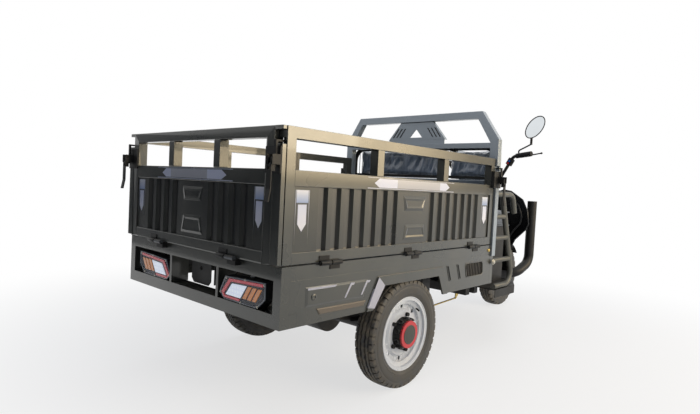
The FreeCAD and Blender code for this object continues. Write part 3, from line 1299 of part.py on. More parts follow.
def front_mudguard():
    """Arched sheet over the front tyre with a stay on each side."""
    ring = turned([(-MUDGUARD_HALF, MUDGUARD_RADIUS), (MUDGUARD_HALF, MUDGUARD_RADIUS),
                   (MUDGUARD_HALF, MUDGUARD_RADIUS + MUDGUARD_SHEET),
                   (-MUDGUARD_HALF, MUDGUARD_RADIUS + MUDGUARD_SHEET)])
    reach = 2 * MUDGUARD_RADIUS
    wedge = [ORIGIN]
    sweep = MUDGUARD_REAR_DEGREES - MUDGUARD_FRONT_DEGREES
    for step in range(MUDGUARD_WEDGE_STEPS + 1):
        angle = math.radians(MUDGUARD_FRONT_DEGREES + sweep * step / MUDGUARD_WEDGE_STEPS)
        wedge.append(V(reach * math.cos(angle), 0, reach * math.sin(angle)))
    keep = moved(prism(wedge, V(0, reach, 0)), V(0, -reach / 2, 0))
    guard = ring.common(keep)
    lug = MUDGUARD_STAY_WIDTH / 2
    low = MUDGUARD_RADIUS - 2 * MUDGUARD_STAY
    stay = block(V(-lug, -MUDGUARD_HALF - MUDGUARD_STAY_SHEET, low),
                 V(lug, -MUDGUARD_HALF, MUDGUARD_RADIUS + MUDGUARD_SHEET))
    return in_fork(fused([guard, stay, mirrored(stay)]))


# Handlebar and controls. The right side is built, the left side mirrors it.

BAR_POINTS = [ahead(*point) for point in (BAR_CENTRE, BAR_KNEE, BAR_SHOULDER, BAR_END)]
GRIP_WAY = (BAR_POINTS[3] - BAR_POINTS[2]).normalize()
RISER_WAY = (BAR_POINTS[2] - BAR_POINTS[1]).normalize()
AHEAD = (X_AXIS - GRIP_WAY * X_AXIS.dot(GRIP_WAY)).normalize()
LEVER_UP = GRIP_WAY.cross(AHEAD)
BUTTON_WAY = (RISER_WAY * X_AXIS.dot(RISER_WAY) - X_AXIS).normalize()


def flip(point):
    return V(point.x, -point.y, point.z)


def handlebar():
    right = list(reversed(BAR_POINTS[1:]))
    left = [flip(point) for point in BAR_POINTS[1:]]
    return bent_tube(right + left, BAR_BEND, BAR_RADIUS)


def along_grip(distance):
    return BAR_POINTS[2] + GRIP_WAY * distance


def grip():
    start = along_grip(GRIP_START + PERCH_WIDTH + POD_GAP)
    end = BAR_POINTS[3] + GRIP_WAY * GRIP_CLEARANCE
    tip = end + GRIP_WAY * GRIP_CAP
    return rod(start, tip, GRIP_RADIUS).cut(rod(start, end, BAR_RADIUS + GRIP_CLEARANCE))


def pod_spot(button):
    """Middle of the switch pod, or the foot of one of its two buttons on the bar line."""
    middle = BAR_POINTS[2] - RISER_WAY * (GRIP_START + POD_LENGTH / 2)
    return middle + RISER_WAY * (button * BUTTON_PITCH / 2)


def switch_pod():
    half = RISER_WAY * (POD_LENGTH / 2)
    middle = pod_spot(0)
    pod = sleeve(middle - half, middle + half, POD_RADIUS, BAR_RADIUS + GRIP_CLEARANCE)
    return pod


def button_well(side):
    spot = pod_spot(side)
    floor = spot + BUTTON_WAY * (POD_RADIUS - BUTTON_WELL)
    return rod(floor, spot + BUTTON_WAY * (2 * POD_RADIUS), BUTTON_RADIUS + BUTTON_CLEARANCE)


def button(side):
    foot = pod_spot(side) + BUTTON_WAY * (POD_RADIUS - BUTTON_WELL + BUTTON_TRAVEL + BUTTON_CLEARANCE)
    return rod(foot, foot + BUTTON_WAY * BUTTON_HEIGHT, BUTTON_RADIUS)


def local(along, ahead, up):
    """Point of the right grip's frame: along the grip, ahead of it and up."""
    return along_grip(along) + AHEAD * ahead + LEVER_UP * up


def lever_pivot():
    return local(GRIP_START + PERCH_WIDTH / 2, PERCH_REACH, 0)


def oriented_block(low, high):
    corners = [local(low[0], low[1], low[2]), local(high[0], low[1], low[2]),
               local(high[0], high[1], low[2]), local(low[0], high[1], low[2])]
    return prism(corners, LEVER_UP * (high[2] - low[2]))


def lever_perch():
    """Clamp on the bar with a forked arm that carries the lever pin."""
    start, end = GRIP_START, GRIP_START + PERCH_WIDTH
    clamp = rod(along_grip(start), along_grip(end), GRIP_RADIUS)
    arm = oriented_block((start, 0, -PERCH_HEIGHT / 2),
                         (end, PERCH_REACH + LEVER_BOSS_RADIUS, PERCH_HEIGHT / 2))
    slot = oriented_block((start, GRIP_RADIUS, -PERCH_SLOT / 2),
                          (end, PERCH_REACH + 2 * LEVER_BOSS_RADIUS, PERCH_SLOT / 2))
    bore = rod(along_grip(start), along_grip(end), BAR_RADIUS + GRIP_CLEARANCE)
    half = LEVER_UP * (PERCH_HEIGHT / 2)
    pin = rod(lever_pivot() - half, lever_pivot() + half, LEVER_PIN_RADIUS)
    return fused([clamp.fuse(arm).cut(slot).cut(bore), pin])


def brake_lever():
    half = LEVER_UP * (LEVER_THICKNESS / 2)
    pivot = lever_pivot()
    along = GRIP_START + PERCH_WIDTH / 2
    boss = rod(pivot - half, pivot + half, LEVER_BOSS_RADIUS)
    bend = along + LEVER_LENGTH * LEVER_BEND_SHARE
    tip = along + LEVER_LENGTH
    near, far = PERCH_REACH - LEVER_WIDTH / 2, PERCH_REACH + LEVER_WIDTH / 2
    lift = -LEVER_THICKNESS / 2
    sweep = LEVER_SWEEP
    outline = ((along, near), (bend, near + sweep), (tip, near + sweep / 2),
               (tip, far + sweep / 2), (bend, far + sweep), (along, far))
    blade = prism([local(distance, ahead, lift) for distance, ahead in outline], half * 2)
    ball = Part.makeSphere(LEVER_BALL_RADIUS, local(tip, PERCH_REACH + sweep / 2, 0))
    lever = fused([boss, blade, ball])
    return lever.cut(rod(pivot - half, pivot + half, LEVER_PIN_RADIUS + LATCH_CLEARANCE))


def mirror_stem():
    foot = local(GRIP_START + PERCH_WIDTH / 2, GRIP_RADIUS / 2, PERCH_HEIGHT / 2)
    lifted = foot + LEVER_UP * MIRROR_STEM_FOOT
    return bent_tube([foot, lifted, ahead(*MIRROR_STEM_KNEE), ahead(*MIRROR_STEM_END)],
                     MIRROR_STEM_BEND, MIRROR_STEM_RADIUS)


def mirror_disc(x, long, short):
    ring = Part.Ellipse(ORIGIN, long, short).toShape()
    wire = Part.Wire(ring)
    wire.rotate(ORIGIN, Y_AXIS, -90)
    wire.rotate(ORIGIN, X_AXIS, MIRROR_LEAN_DEGREES)
    wire.translate(ahead(*MIRROR_CENTRE) + V(x, 0, 0))
    return wire


def mirror_head():
    """Oval shell with its glass let into the rear face and a socket on the stem."""
    long, short = MIRROR_LONG - MIRROR_RIM, MIRROR_SHORT - MIRROR_RIM
    shell = Part.makeLoft([mirror_disc(0, MIRROR_LONG, MIRROR_SHORT),
                           mirror_disc(MIRROR_DEPTH / 2, long, short),
                           mirror_disc(MIRROR_DEPTH, MIRROR_LONG / 2, MIRROR_SHORT / 2)], True)
    face = Part.Face(mirror_disc(0, long, short))
    glass = face.extrude(V(MIRROR_GLASS, 0, 0))
    end = ahead(*MIRROR_STEM_END)
    foot = end - V(0, 0, MIRROR_SOCKET_LENGTH)
    cap = end + V(0, 0, MIRROR_ARM)
    socket = rod(foot, cap, MIRROR_SOCKET_RADIUS)
    hole = rod(foot, end + V(0, 0, HINGE_CLEARANCE), MIRROR_STEM_RADIUS + HINGE_CLEARANCE)
    middle = ahead(*MIRROR_CENTRE) + V(MIRROR_DEPTH / 2, 0, 0)
    arm = rod(end + V(0, 0, MIRROR_ARM / 2), middle, MIRROR_ARM)
    shell = fused([shell, arm, socket]).cut(glass).cut(hole)
    return [shell, glass]


def instrument_box():
    bar = fork_local(ahead(*BAR_CENTRE))
    size = V(*DASH_SIZE)
    low = V(bar.x - size.x / 2, -size.y / 2, bar.z + BAR_RADIUS + RISER_WALL)
    return in_fork(block(low, low + size))


# Front fairing, lamp, bumper and pedal

def front_fairing():
    half = [(SHIELD_HALF * share, z) for share, z in zip(SHIELD_WIDTH_SHARES, SHIELD_HEIGHTS)]
    outline = half + [(-y, z) for y, z in reversed(half[1:-1])]
    shield = prism([ahead(SHIELD_AHEAD, y, z) for y, z in outline], V(SHIELD_SHEET, 0, 0))
    rear = SHIELD_AHEAD + SHIELD_SHEET
    rise = V(0, 0, COWL_TOP - COWL_BOTTOM)
    top = min(COWL_TOP, SHIELD_HEIGHTS[0])
    inner, nose_in = COWL_HALF - COWL_SHEET, COWL_NOSE_HALF - COWL_SHEET
    side = prism([ahead(x, -y, COWL_BOTTOM) for x, y in
                  ((rear, COWL_HALF), (COWL_FRONT_AHEAD, COWL_NOSE_HALF), (COWL_FRONT_AHEAD, nose_in),
                   (rear, inner))], V(0, 0, top - COWL_BOTTOM))
    nose = block(ahead(COWL_FRONT_AHEAD, -COWL_NOSE_HALF, COWL_BOTTOM),
                 ahead(COWL_FRONT_AHEAD + COWL_SHEET, COWL_NOSE_HALF, COWL_BOTTOM) + rise)
    return [shield, nose] + both_sides([side])


def head_lamp():
    face = ahead(COWL_FRONT_AHEAD + COWL_SHEET, 0, HEAD_LAMP_HEIGHT)
    rim_end = face + V(HEAD_LAMP_DEPTH, 0, 0)
    bowl = rod(face, rim_end, LAMP_RADIUS)
    lens = rod(rim_end, rim_end + V(HEAD_LAMP_LENS, 0, 0), LAMP_RADIUS - COWL_SHEET)
    return [bowl, lens]


def bumper_tube():
    x, y, z = BUMPER_TURN
    points = [ahead(BUMPER_AHEAD, -BUMPER_OFFSET, BUMPER_TOP),
              ahead(BUMPER_AHEAD, -BUMPER_OFFSET, BUMPER_LOW), ahead(x, -y, z),
              ahead(x, -BUMPER_FOOT_OFFSET, z)]
    tube = bent_tube(points, BUMPER_BEND, BUMPER_RADIUS)
    half = LOW_RAIL_OFFSET + RAIL_WIDTH / 2
    behind = block(station(0, -half, 0), ahead(BUMPER_AHEAD, half, BUMPER_LOW))
    return tube.cut(behind)


def pedal_spot(y, z):
    return ahead(PEDAL_AHEAD, PEDAL_OFFSET + y, z)


def pedal_bracket():
    """Two ears on the footboard with the pedal pin between them."""
    inner = PEDAL_ARM_WIDTH / 2 + PEDAL_GAP
    outer = inner + PEDAL_BRACKET_SHEET
    half = V(PEDAL_ARM_DEPTH / 2, 0, 0)
    pin = rod(pedal_spot(-outer, PEDAL_PIVOT_HEIGHT), pedal_spot(outer, PEDAL_PIVOT_HEIGHT),
              PEDAL_PIN_RADIUS)
    top = PEDAL_PIVOT_HEIGHT + PEDAL_ARM_DEPTH / 2
    ears = [block(pedal_spot(low, FOOT_TOP) - half, pedal_spot(low + PEDAL_BRACKET_SHEET, top) + half)
            for low in (-outer, inner)]
    return fused(ears + [pin])


def brake_pedal():
    half = PEDAL_ARM_WIDTH / 2
    depth = V(PEDAL_ARM_DEPTH / 2, 0, 0)
    boss = rod(pedal_spot(-half, PEDAL_PIVOT_HEIGHT), pedal_spot(half, PEDAL_PIVOT_HEIGHT),
               PEDAL_ARM_DEPTH / 2)
    top = PEDAL_PIVOT_HEIGHT + PEDAL_ARM_LENGTH
    arm = block(pedal_spot(-half, PEDAL_PIVOT_HEIGHT) - depth, pedal_spot(half, top) + depth)
    pad_depth, pad_width, pad_height = PEDAL_PAD
    pad = block(pedal_spot(-pad_width / 2, top - pad_height) - depth - V(pad_depth, 0, 0),
                pedal_spot(pad_width / 2, top) - depth)
    bore = rod(pedal_spot(-half, PEDAL_PIVOT_HEIGHT), pedal_spot(half, PEDAL_PIVOT_HEIGHT),
               PEDAL_PIN_RADIUS + HINGE_CLEARANCE)
    return fused([boss, arm, pad]).cut(bore)


def brake_linkage():
    """Crank plate below the frame and the pull rod that runs back towards the axle."""
    left, right = CRANK_AHEAD, CRANK_AHEAD + CRANK_WIDTH
    half = CRANK_SHEET / 2
    crank = prism([ahead(x, CRANK_OFFSET - half, z) for x, z in
                   ((left, LOW_RAIL_BOTTOM), (right, LOW_RAIL_BOTTOM), (left + half, CRANK_BOTTOM),
                    (left - CRANK_SHEET, CRANK_BOTTOM))], V(0, CRANK_SHEET, 0))
    pull = rod(ahead(left, CRANK_OFFSET, CRANK_BOTTOM + CRANK_SHEET),
               V(REAR_AXLE_X + BRAKE_ROD_STEP, CRANK_OFFSET, BRAKE_ROD_REAR_HEIGHT), BRAKE_ROD_RADIUS)
    return crank.fuse(pull)


def side_gate():
    place = V(REAR_X, -HALF_BOX, GATE_BOTTOM)
    bars = [moved(bar, place) for bar in gate_frame(SIDE_GATE_LENGTH)]
    bars[0] = bars[0].cut(at_rear_latch(notch(TAILGATE_PROUD)))
    sheet = moved(gate_panel(SIDE_GATE_LENGTH, SIDE_RIBS, SIDE_RIB_SHARES), place)
    line = V(REAR_X, -HALF_BOX - HINGE_RADIUS, HINGE_HEIGHT)
    leaves = [moved(hinge_moving(centre), line) for centre in SIDE_HINGE_STATIONS]
    base = at_front_latch(latch_base(FRONT_PACKING))
    fixed = [moved(hinge_fixed(centre, 0), line) for centre in SIDE_HINGE_STATIONS]
    return bars, sheet, leaves + [base], fixed


def tail_flanges():
    """Strips that cover the end of the side gate's post, with a window for the latch hook."""
    rear, front = REAR_X - TAILGATE_PROUD, REAR_X - TAIL_FLANGE_GAP
    outer, inner = TAIL_FLANGE_INSET - HALF_BOX, -TAILGATE_LENGTH / 2
    hook_top = LATCH_HEIGHT + HOOK_RISE - HOOK_DROP
    window_low = hook_top - HOOK_ROD - TAIL_FLANGE_MARGIN
    window_high = hook_top + 1.5 * HOOK_DROP + TAIL_FLANGE_MARGIN
    low = block(V(rear, outer, GATE_BOTTOM), V(front, inner, window_low))
    high = block(V(rear, outer, window_high), V(front, inner, GATE_BOTTOM + GATE_HEIGHT))
    return both_sides([low, high])


def tailgate():
    place = V(REAR_X - TAILGATE_PROUD, TAILGATE_LENGTH / 2, GATE_BOTTOM)
    bars = [moved(quarter_turned(bar), place) for bar in gate_frame(TAILGATE_LENGTH)] + tail_flanges()
    sheet = moved(quarter_turned(gate_panel(TAILGATE_LENGTH, TAIL_RIBS, TAIL_RIB_SHARES)), place)
    line = V(REAR_X - TAILGATE_PROUD - HINGE_RADIUS, 0, HINGE_HEIGHT)
    spots = (-TAIL_HINGE_OFFSET, TAIL_HINGE_OFFSET)
    leaves = [moved(quarter_turned(hinge_moving(spot)), line) for spot in spots]
    bases = both_sides([at_rear_latch(latch_base(0))])
    fixed = [moved(quarter_turned(hinge_fixed(spot, TAILGATE_PROUD)), line) for spot in spots]
    return bars, sheet, leaves + bases, fixed


def main():
    os.makedirs("parts", exist_ok=True)
    bars, sheet, hardware, side_fixed = side_gate()
    save("right_gate_frame", bars)
    save("left_gate_frame", [mirrored(bar) for bar in bars])
    save("right_gate_panel", [sheet])
    save("left_gate_panel", [mirrored(sheet)])
    save("right_gate_hardware", hardware)
    save("left_gate_hardware", [mirrored(piece) for piece in hardware])
    bars, sheet, hardware, rear_fixed = tailgate()
    save("tailgate_frame", bars)
    save("tailgate_panel", [sheet])
    save("tailgate_hardware", hardware)
    save("hinge_pins", both_sides(side_fixed) + rear_fixed)
    for name, place, face in (("rear", at_rear_latch, TAILGATE_PROUD),
                              ("front", at_front_latch, HOOK_SLACK)):
        lever, hook = place(latch_lever()), place(latch_hook(face))
        save(name + "_right_latch_lever", [lever])
        save(name + "_left_latch_lever", [mirrored(lever)])
        save(name + "_right_latch_hook", [hook])
        save(name + "_left_latch_hook", [mirrored(hook)])
    save("bed_frame", bed_frame())
    save("cargo_floor", [cargo_floor()])
    save("side_skirts", both_sides([side_skirt()]))
    save("head_guard", head_guard() + front_wall())
    save("backrest_frame", [backrest_frame()] + backrest_clips())
    save("backrest_pads", backrest_pads())
    save("seat_cushion", [seat_cushion()] + seat_hinge(True))
    save("seat_box", seat_box())
    save("battery_and_controller", battery_and_controller())
    save("footboard", footboard() + [pedal_bracket()])
    save("side_guards", both_sides([side_guard()]))
    housings, lights = tail_lamps()
    save("tail_lamps", housings + lights)
    save("plate_bracket", [plate_bracket()])
    save("chassis_frame", chassis_frame())
    save("leaf_springs", both_sides(leaf_spring()))
    save("rear_axle", [rear_axle()])
    save("drive_motor", [drive_motor()])
    for name, solids in (("tyre", [tyre(REAR_TYRE_WIDTH)]), ("rim", [rim(REAR_TYRE_WIDTH, DISC_OFFSET)]),
                         ("hub", rear_hub())):
        left = [at_left_wheel(solid) for solid in solids]
        save("left_rear_" + name, left)
        save("right_rear_" + name, [mirrored(solid) for solid in left])
    save("front_tyre", [in_fork(tyre(FRONT_TYRE_WIDTH))])
    save("front_rim", [in_fork(rim(FRONT_TYRE_WIDTH, 0)), in_fork(front_hub())])
    save("steering_fork", [steering_fork()])
    save("fork_sliders", [fork_sliders()])
    save("front_mudguard", [front_mudguard()])
    save("handlebar", [handlebar()])
    right_pod = switch_pod()
    left_pod = mirrored(right_pod)
    for side in (-1, 1):
        right_pod = right_pod.cut(button_well(side))
    controls = both_sides([fused([lever_perch(), mirror_stem()])])
    save("handlebar_controls", [right_pod, left_pod, instrument_box(), mirrored(grip())] + controls)
    save("throttle_grip", [grip()])
    save("blue_button", [button(1)])
    save("red_button", [button(-1)])
    save("right_brake_lever", [brake_lever()])
    save("left_brake_lever", [mirrored(brake_lever())])
    save("right_mirror", mirror_head())
    save("left_mirror", [mirrored(piece) for piece in mirror_head()])
    save("front_fairing", front_fairing())
    save("head_lamp", head_lamp())
    save("front_bumper", both_sides([bumper_tube()]))
    save("brake_pedal", [brake_pedal()])
    save("brake_linkage", [brake_linkage()])


if __name__ == "__main__":
    main()
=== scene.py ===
# %% [markdown]
# # Dressing a cargo tricycle
# The solids of a three-wheeled load carrier are already built and packed. This lesson gives them their looks: painted
# steel, rubber, vinyl, lamps and film. We could model the whole vehicle again in Blender, but then its sizes and joints
# would drift apart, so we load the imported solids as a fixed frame. Every new piece is placed in the same metres, with X
# forward, Y to the driver's left and Z up. Sizes in this file are millimetres, and become metres where a mesh is made.

# %% Load the frame
import math

import bmesh
import bpy
from mathutils import Matrix, Vector, noise


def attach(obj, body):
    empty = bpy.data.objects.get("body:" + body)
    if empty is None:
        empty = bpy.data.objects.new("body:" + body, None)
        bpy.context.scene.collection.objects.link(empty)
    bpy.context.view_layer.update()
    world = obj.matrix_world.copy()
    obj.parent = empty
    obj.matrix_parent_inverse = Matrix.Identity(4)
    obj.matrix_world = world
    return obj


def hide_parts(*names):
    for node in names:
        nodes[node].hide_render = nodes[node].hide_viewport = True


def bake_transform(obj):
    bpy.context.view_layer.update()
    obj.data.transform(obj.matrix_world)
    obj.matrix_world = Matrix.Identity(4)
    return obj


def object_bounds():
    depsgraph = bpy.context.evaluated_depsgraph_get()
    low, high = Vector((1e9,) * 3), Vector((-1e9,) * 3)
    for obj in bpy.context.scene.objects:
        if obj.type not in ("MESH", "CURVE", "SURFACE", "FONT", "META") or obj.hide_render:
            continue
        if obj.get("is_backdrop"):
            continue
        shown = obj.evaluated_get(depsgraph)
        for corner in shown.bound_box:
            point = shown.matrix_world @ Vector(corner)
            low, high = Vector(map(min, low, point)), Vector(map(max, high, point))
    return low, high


SIDES = (("right", -1), ("left", 1))
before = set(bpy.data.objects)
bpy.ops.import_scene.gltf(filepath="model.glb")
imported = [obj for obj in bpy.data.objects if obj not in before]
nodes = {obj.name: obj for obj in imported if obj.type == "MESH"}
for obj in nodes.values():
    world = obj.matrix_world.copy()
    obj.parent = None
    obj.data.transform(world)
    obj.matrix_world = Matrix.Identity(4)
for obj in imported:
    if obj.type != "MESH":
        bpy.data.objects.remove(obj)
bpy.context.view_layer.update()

# %% [markdown]
# ## The camera
# The picture that we match was taken from behind and to the right, at about elbow height, with a wide lens held a few
# degrees off level. A camera could be aimed by eye; here its place, its three angles and its focal length in pixels
# are known from the straight edges of the box, so we set them directly. The lens length follows from the width of the
# picture, which is 700 pixels.

# %% Camera
PICTURE_WIDTH, FOCAL_PIXELS, SENSOR_MM = 700, 509.63, 36.0
CAMERA_PLACE = (-2.5734, -1.8407, 0.8905)
YAW, PITCH, ROLL = (math.radians(a) for a in (42.053, -2.363, 2.974))
forward = Vector((math.cos(PITCH) * math.cos(YAW), math.cos(PITCH) * math.sin(YAW), math.sin(PITCH)))
level_right = forward.cross(Vector((0, 0, 1))).normalized()
level_up = level_right.cross(forward)
right = level_right * math.cos(ROLL) + level_up * math.sin(ROLL)
up = level_up * math.cos(ROLL) - level_right * math.sin(ROLL)
camera = bpy.data.objects.new("camera", bpy.data.cameras.new("camera"))
camera.data.sensor_width = SENSOR_MM
camera.data.lens = FOCAL_PIXELS * SENSOR_MM / PICTURE_WIDTH
camera.matrix_world = Matrix((right, up, -forward)).transposed().to_4x4()
camera.location = CAMERA_PLACE
bpy.context.collection.objects.link(camera)
bpy.context.scene.camera = camera
print("lens of", round(camera.data.lens, 2), "mm")

# %% [markdown]
# ## Small helpers for finishes
# Paint charts give colours as sRGB hex values, and shaders work in linear light, so one function turns the first into
# the second. One more adds a node to a material, sets its values and makes its links: a helper for each kind of node
# would be longer and teach less. What is the same all over a surface is set on the shader's own sockets.

# %% Colour and node helpers
def linear(hex_colour):
    channels = [int(hex_colour[i:i + 2], 16) / 255 for i in (1, 3, 5)]
    return [c / 12.92 if c <= 0.04045 else ((c + 0.055) / 1.055) ** 2.4 for c in channels] + [1.0]


def add_node(tree, kind, links=(), values=(), **settings):
    """Adds a node; links and values are pairs of an input and an output socket or a value."""
    new = tree.nodes.new("ShaderNode" + kind)
    for name, value in settings.items():
        setattr(new, name, value)
    for key, value in values:
        new.inputs[key].default_value = value
    for key, source in links:
        tree.links.new(source, new.inputs[key])
    return new


def new_material(name, **sockets):
    """Material with one principled shader, its constants set on the shader's own sockets."""
    material = bpy.data.materials.new(name)
    material.use_nodes = True
    shader = material.node_tree.nodes["Principled BSDF"]
    for key, value in sockets.items():
        shader.inputs[key.replace("_", " ")].default_value = value
    return material, material.node_tree, shader


def per_metre(millimetres):
    """Texture scale for a pattern whose cells are this many millimetres wide."""
    return 1000.0 / millimetres


print("mid grey in linear light:", [round(c, 3) for c in linear("#808080")])

# %% [markdown]
# ## Floor
# The object stands on a pale paper floor that carries its shadow and runs into a white background. A floor lit to
# white would take so much light that the paint washed out. So the paper is plain near the wheels, and further out it
# glows white, but only for rays that come from the camera, from gloss or through glass.

# %% Floor
FLOOR_HALF, PLAIN_REACH, WHITE_REACH, PLAIN_GLOW = 40, 1.0, 3.4, 0.68


def flat_sheet(name, corners):
    mesh = bpy.data.meshes.new(name)
    mesh.from_pydata(corners, [], [tuple(range(len(corners)))])
    sheet = bpy.data.objects.new(name, mesh)
    bpy.context.collection.objects.link(sheet)
    sheet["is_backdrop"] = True
    return sheet


def white_to_eye(tree):
    """One for rays that come from the camera, from gloss or through glass, otherwise zero."""
    ray = add_node(tree, "LightPath")
    seen = add_node(tree, "Math", [(0, ray.outputs["Is Camera Ray"]), (1, ray.outputs["Is Glossy Ray"])],
                    operation="MAXIMUM")
    both = add_node(tree, "Math", [(0, seen.outputs[0]), (1, ray.outputs["Is Transmission Ray"])], operation="MAXIMUM")
    return both.outputs[0]


floor = flat_sheet("floor", [(x * FLOOR_HALF, y * FLOOR_HALF, 0) for x, y in ((-1, -1), (1, -1), (1, 1), (-1, 1))])
# Uncoated paper: matt and nearly white.
floor_paper, tree, shader = new_material("pale_paper_floor", Roughness=0.9, Specular_IOR_Level=0.05)
shader.inputs["Base Color"].default_value = linear("#efefec")
spot = add_node(tree, "TexCoord")
reach = add_node(tree, "VectorMath", [(0, spot.outputs["Object"])], operation="LENGTH")
fade = add_node(tree, "MapRange", [("Value", reach.outputs["Value"])],
                [("From Min", PLAIN_REACH), ("From Max", WHITE_REACH), ("To Min", PLAIN_GLOW), ("To Max", 1.0)],
                interpolation_type="SMOOTHSTEP")
share = add_node(tree, "Math", [(0, fade.outputs[0]), (1, white_to_eye(tree))], operation="MULTIPLY")
glow = add_node(tree, "Emission", values=[("Color", (1, 1, 1, 1)), ("Strength", 1.0)])
paper = add_node(tree, "MixShader", [(0, share.outputs[0]), (1, shader.outputs[0]), (2, glow.outputs[0])])
tree.links.new(paper.outputs[0], tree.nodes["Material Output"].inputs["Surface"])
floor.data.materials.append(floor_paper)
print("the floor is stage only")

# %% [markdown]
# ## World and lamps
# The light is plain: one wide warm softbox on the right-hand side, a soft ceiling, and a dim world that is slightly
# blue where it lights the object and white where it is seen. A sun lamp would be quicker, but its shadows would be
# hard. The tailgate faces away from the light and mirrors a dark screen, so it stays deep in colour.

# %% World
WORLD_LIGHT = 0.22
world = bpy.data.worlds.new("pale_world")
world.use_nodes = True
bpy.context.scene.world = world
tree = world.node_tree
seen = white_to_eye(tree)
strength = add_node(tree, "MapRange", [("Value", seen)], [("To Min", WORLD_LIGHT), ("To Max", 1.0)])
sky = add_node(tree, "Mix", [(0, seen)], [(6, linear("#c8d8ff")), (7, (1, 1, 1, 1))], data_type="RGBA")
background = tree.nodes["Background"]
tree.links.new(sky.outputs[2], background.inputs["Color"])
tree.links.new(strength.outputs["Result"], background.inputs["Strength"])
bpy.context.scene.view_settings.view_transform = "Standard"
print("world light:", WORLD_LIGHT)

# %% Softboxes and dark screen
SIDE_WATTS, CEILING_WATTS = 155, 100
SCREEN_X, SCREEN_ENDS, SCREEN_TOP = -3.4, (-6.0, 7), 1.36


def softbox(name, place, target, size, watts, colour):
    lamp = bpy.data.lights.new(name, "AREA")
    lamp.shape = "RECTANGLE"
    lamp.size, lamp.size_y = size
    lamp.energy = watts
    lamp.color = linear(colour)[:3]
    holder = bpy.data.objects.new(name, lamp)
    holder.location = place
    holder.rotation_euler = (Vector(target) - Vector(place)).to_track_quat("-Z", "Y").to_euler()
    bpy.context.collection.objects.link(holder)


softbox("side_softbox", place=(0.9, -4.6, 2.4), target=(-0.3, 0, 0.6), size=(4.5, 2.2), watts=SIDE_WATTS,
        colour="#fff0d8")
softbox("ceiling", place=(0.3, -0.4, 5.0), target=(0.1, 0, 0), size=(6.0, 5.0), watts=CEILING_WATTS, colour="#ffffff")
near, far = SCREEN_ENDS
screen = flat_sheet("screen", [(SCREEN_X, y, z) for y, z in ((near, 0.0), (far, 0.0), (far, SCREEN_TOP),
                                                             (near, SCREEN_TOP))])
# Matt blue-black cloth: it is only there to be mirrored.
screen_cloth, tree, shader = new_material("dark_screen", Roughness=1.0)
shader.inputs["Base Color"].default_value = linear("#1f2937")
screen.data.materials.append(screen_cloth)
screen.visible_camera = screen.visible_shadow = False

# %% [markdown]
# ## Warm card
# A low sun gilds the upper rails, but not the sheets below them. More light would gild everything. A card far out on
# the right, above the height of the sheets, that shows only in glossy paint gives the rails their gold alone. It fades
# in from its lower edge and dies away towards its far end.

# %% Warm card
CARD_Y, CARD_ENDS, CARD_LOW, CARD_HIGH, CARD_GLOW = -5.0, (1.0, 10.5), 0.9, 2.6, 7.0
near, far = CARD_ENDS
warm_card = flat_sheet("warm_card", [(x, CARD_Y, z) for x, z in ((near, CARD_LOW), (far, CARD_LOW), (far, CARD_HIGH),
                                                                 (near, CARD_HIGH))])
# Paper that glows in the colour of late sun.
card_paper, tree, shader = new_material("warm_card_paper", Roughness=1.0)
spot = add_node(tree, "TexCoord")
axes = add_node(tree, "SeparateXYZ", [(0, spot.outputs["Object"])])
rise = add_node(tree, "MapRange", [("Value", axes.outputs["Z"])],
                [("From Min", CARD_LOW + 0.01), ("From Max", CARD_LOW + 0.2), ("To Min", 0.3), ("To Max", CARD_GLOW)])
away = add_node(tree, "MapRange", [("Value", axes.outputs["X"])],
                [("From Min", 5.0), ("From Max", 7.8), ("To Min", 1.0), ("To Max", 0.04)])
shine = add_node(tree, "Math", [(0, rise.outputs[0]), (1, away.outputs[0])], operation="MULTIPLY")
glow = add_node(tree, "Emission", [("Strength", shine.outputs[0])], [("Color", linear("#ffe6bd"))])
tree.links.new(glow.outputs[0], tree.nodes["Material Output"].inputs["Surface"])
warm_card.data.materials.append(card_paper)
warm_card.visible_camera = warm_card.visible_diffuse = warm_card.visible_shadow = False
print("the card glows up to", CARD_GLOW)

# %% [markdown]
# ## Sprayed metallic enamel
# Frame and body are sheet steel, sprayed with a dark olive-grey enamel that has fine aluminium flake under a glossy
# clear coat. A plain grey with some gloss would look like plastic. So the recipe has a partly metallic base under a
# coat, slight cloudiness from the spray gun, and road dust that settles on faces that look up.

# %% Road dust
def road_dust(tree, amount, patch_mm):
    """Share of dust: more on faces that look up, broken into patches."""
    place = add_node(tree, "TexCoord")
    facing = add_node(tree, "NewGeometry")
    lift = add_node(tree, "SeparateXYZ", [(0, facing.outputs["Normal"])])
    patches = add_node(tree, "TexNoise", [("Vector", place.outputs["Object"])],
                       [("Scale", per_metre(patch_mm)), ("Detail", 6.0), ("Roughness", 0.62)])
    upward = add_node(tree, "MapRange", [("Value", lift.outputs["Z"])],
                      [("From Min", 0.1), ("From Max", 0.9), ("To Min", 0.25), ("To Max", 1.0)])
    spread = add_node(tree, "MapRange", [("Value", patches.outputs["Fac"])],
                      [("From Min", 0.38), ("From Max", 0.75), ("To Min", 0.0), ("To Max", amount)])
    return add_node(tree, "Math", [(0, upward.outputs["Result"]), (1, spread.outputs["Result"])], operation="MULTIPLY")


print("dust recipe ready")

# %% Enamels
CLOUD_MM, DUST_MM, PEEL_MM = 260, 90, 35
FLAKE_MM = 2.5  # real flake is under 0.1 mm; drawn as coarse as it needs to show


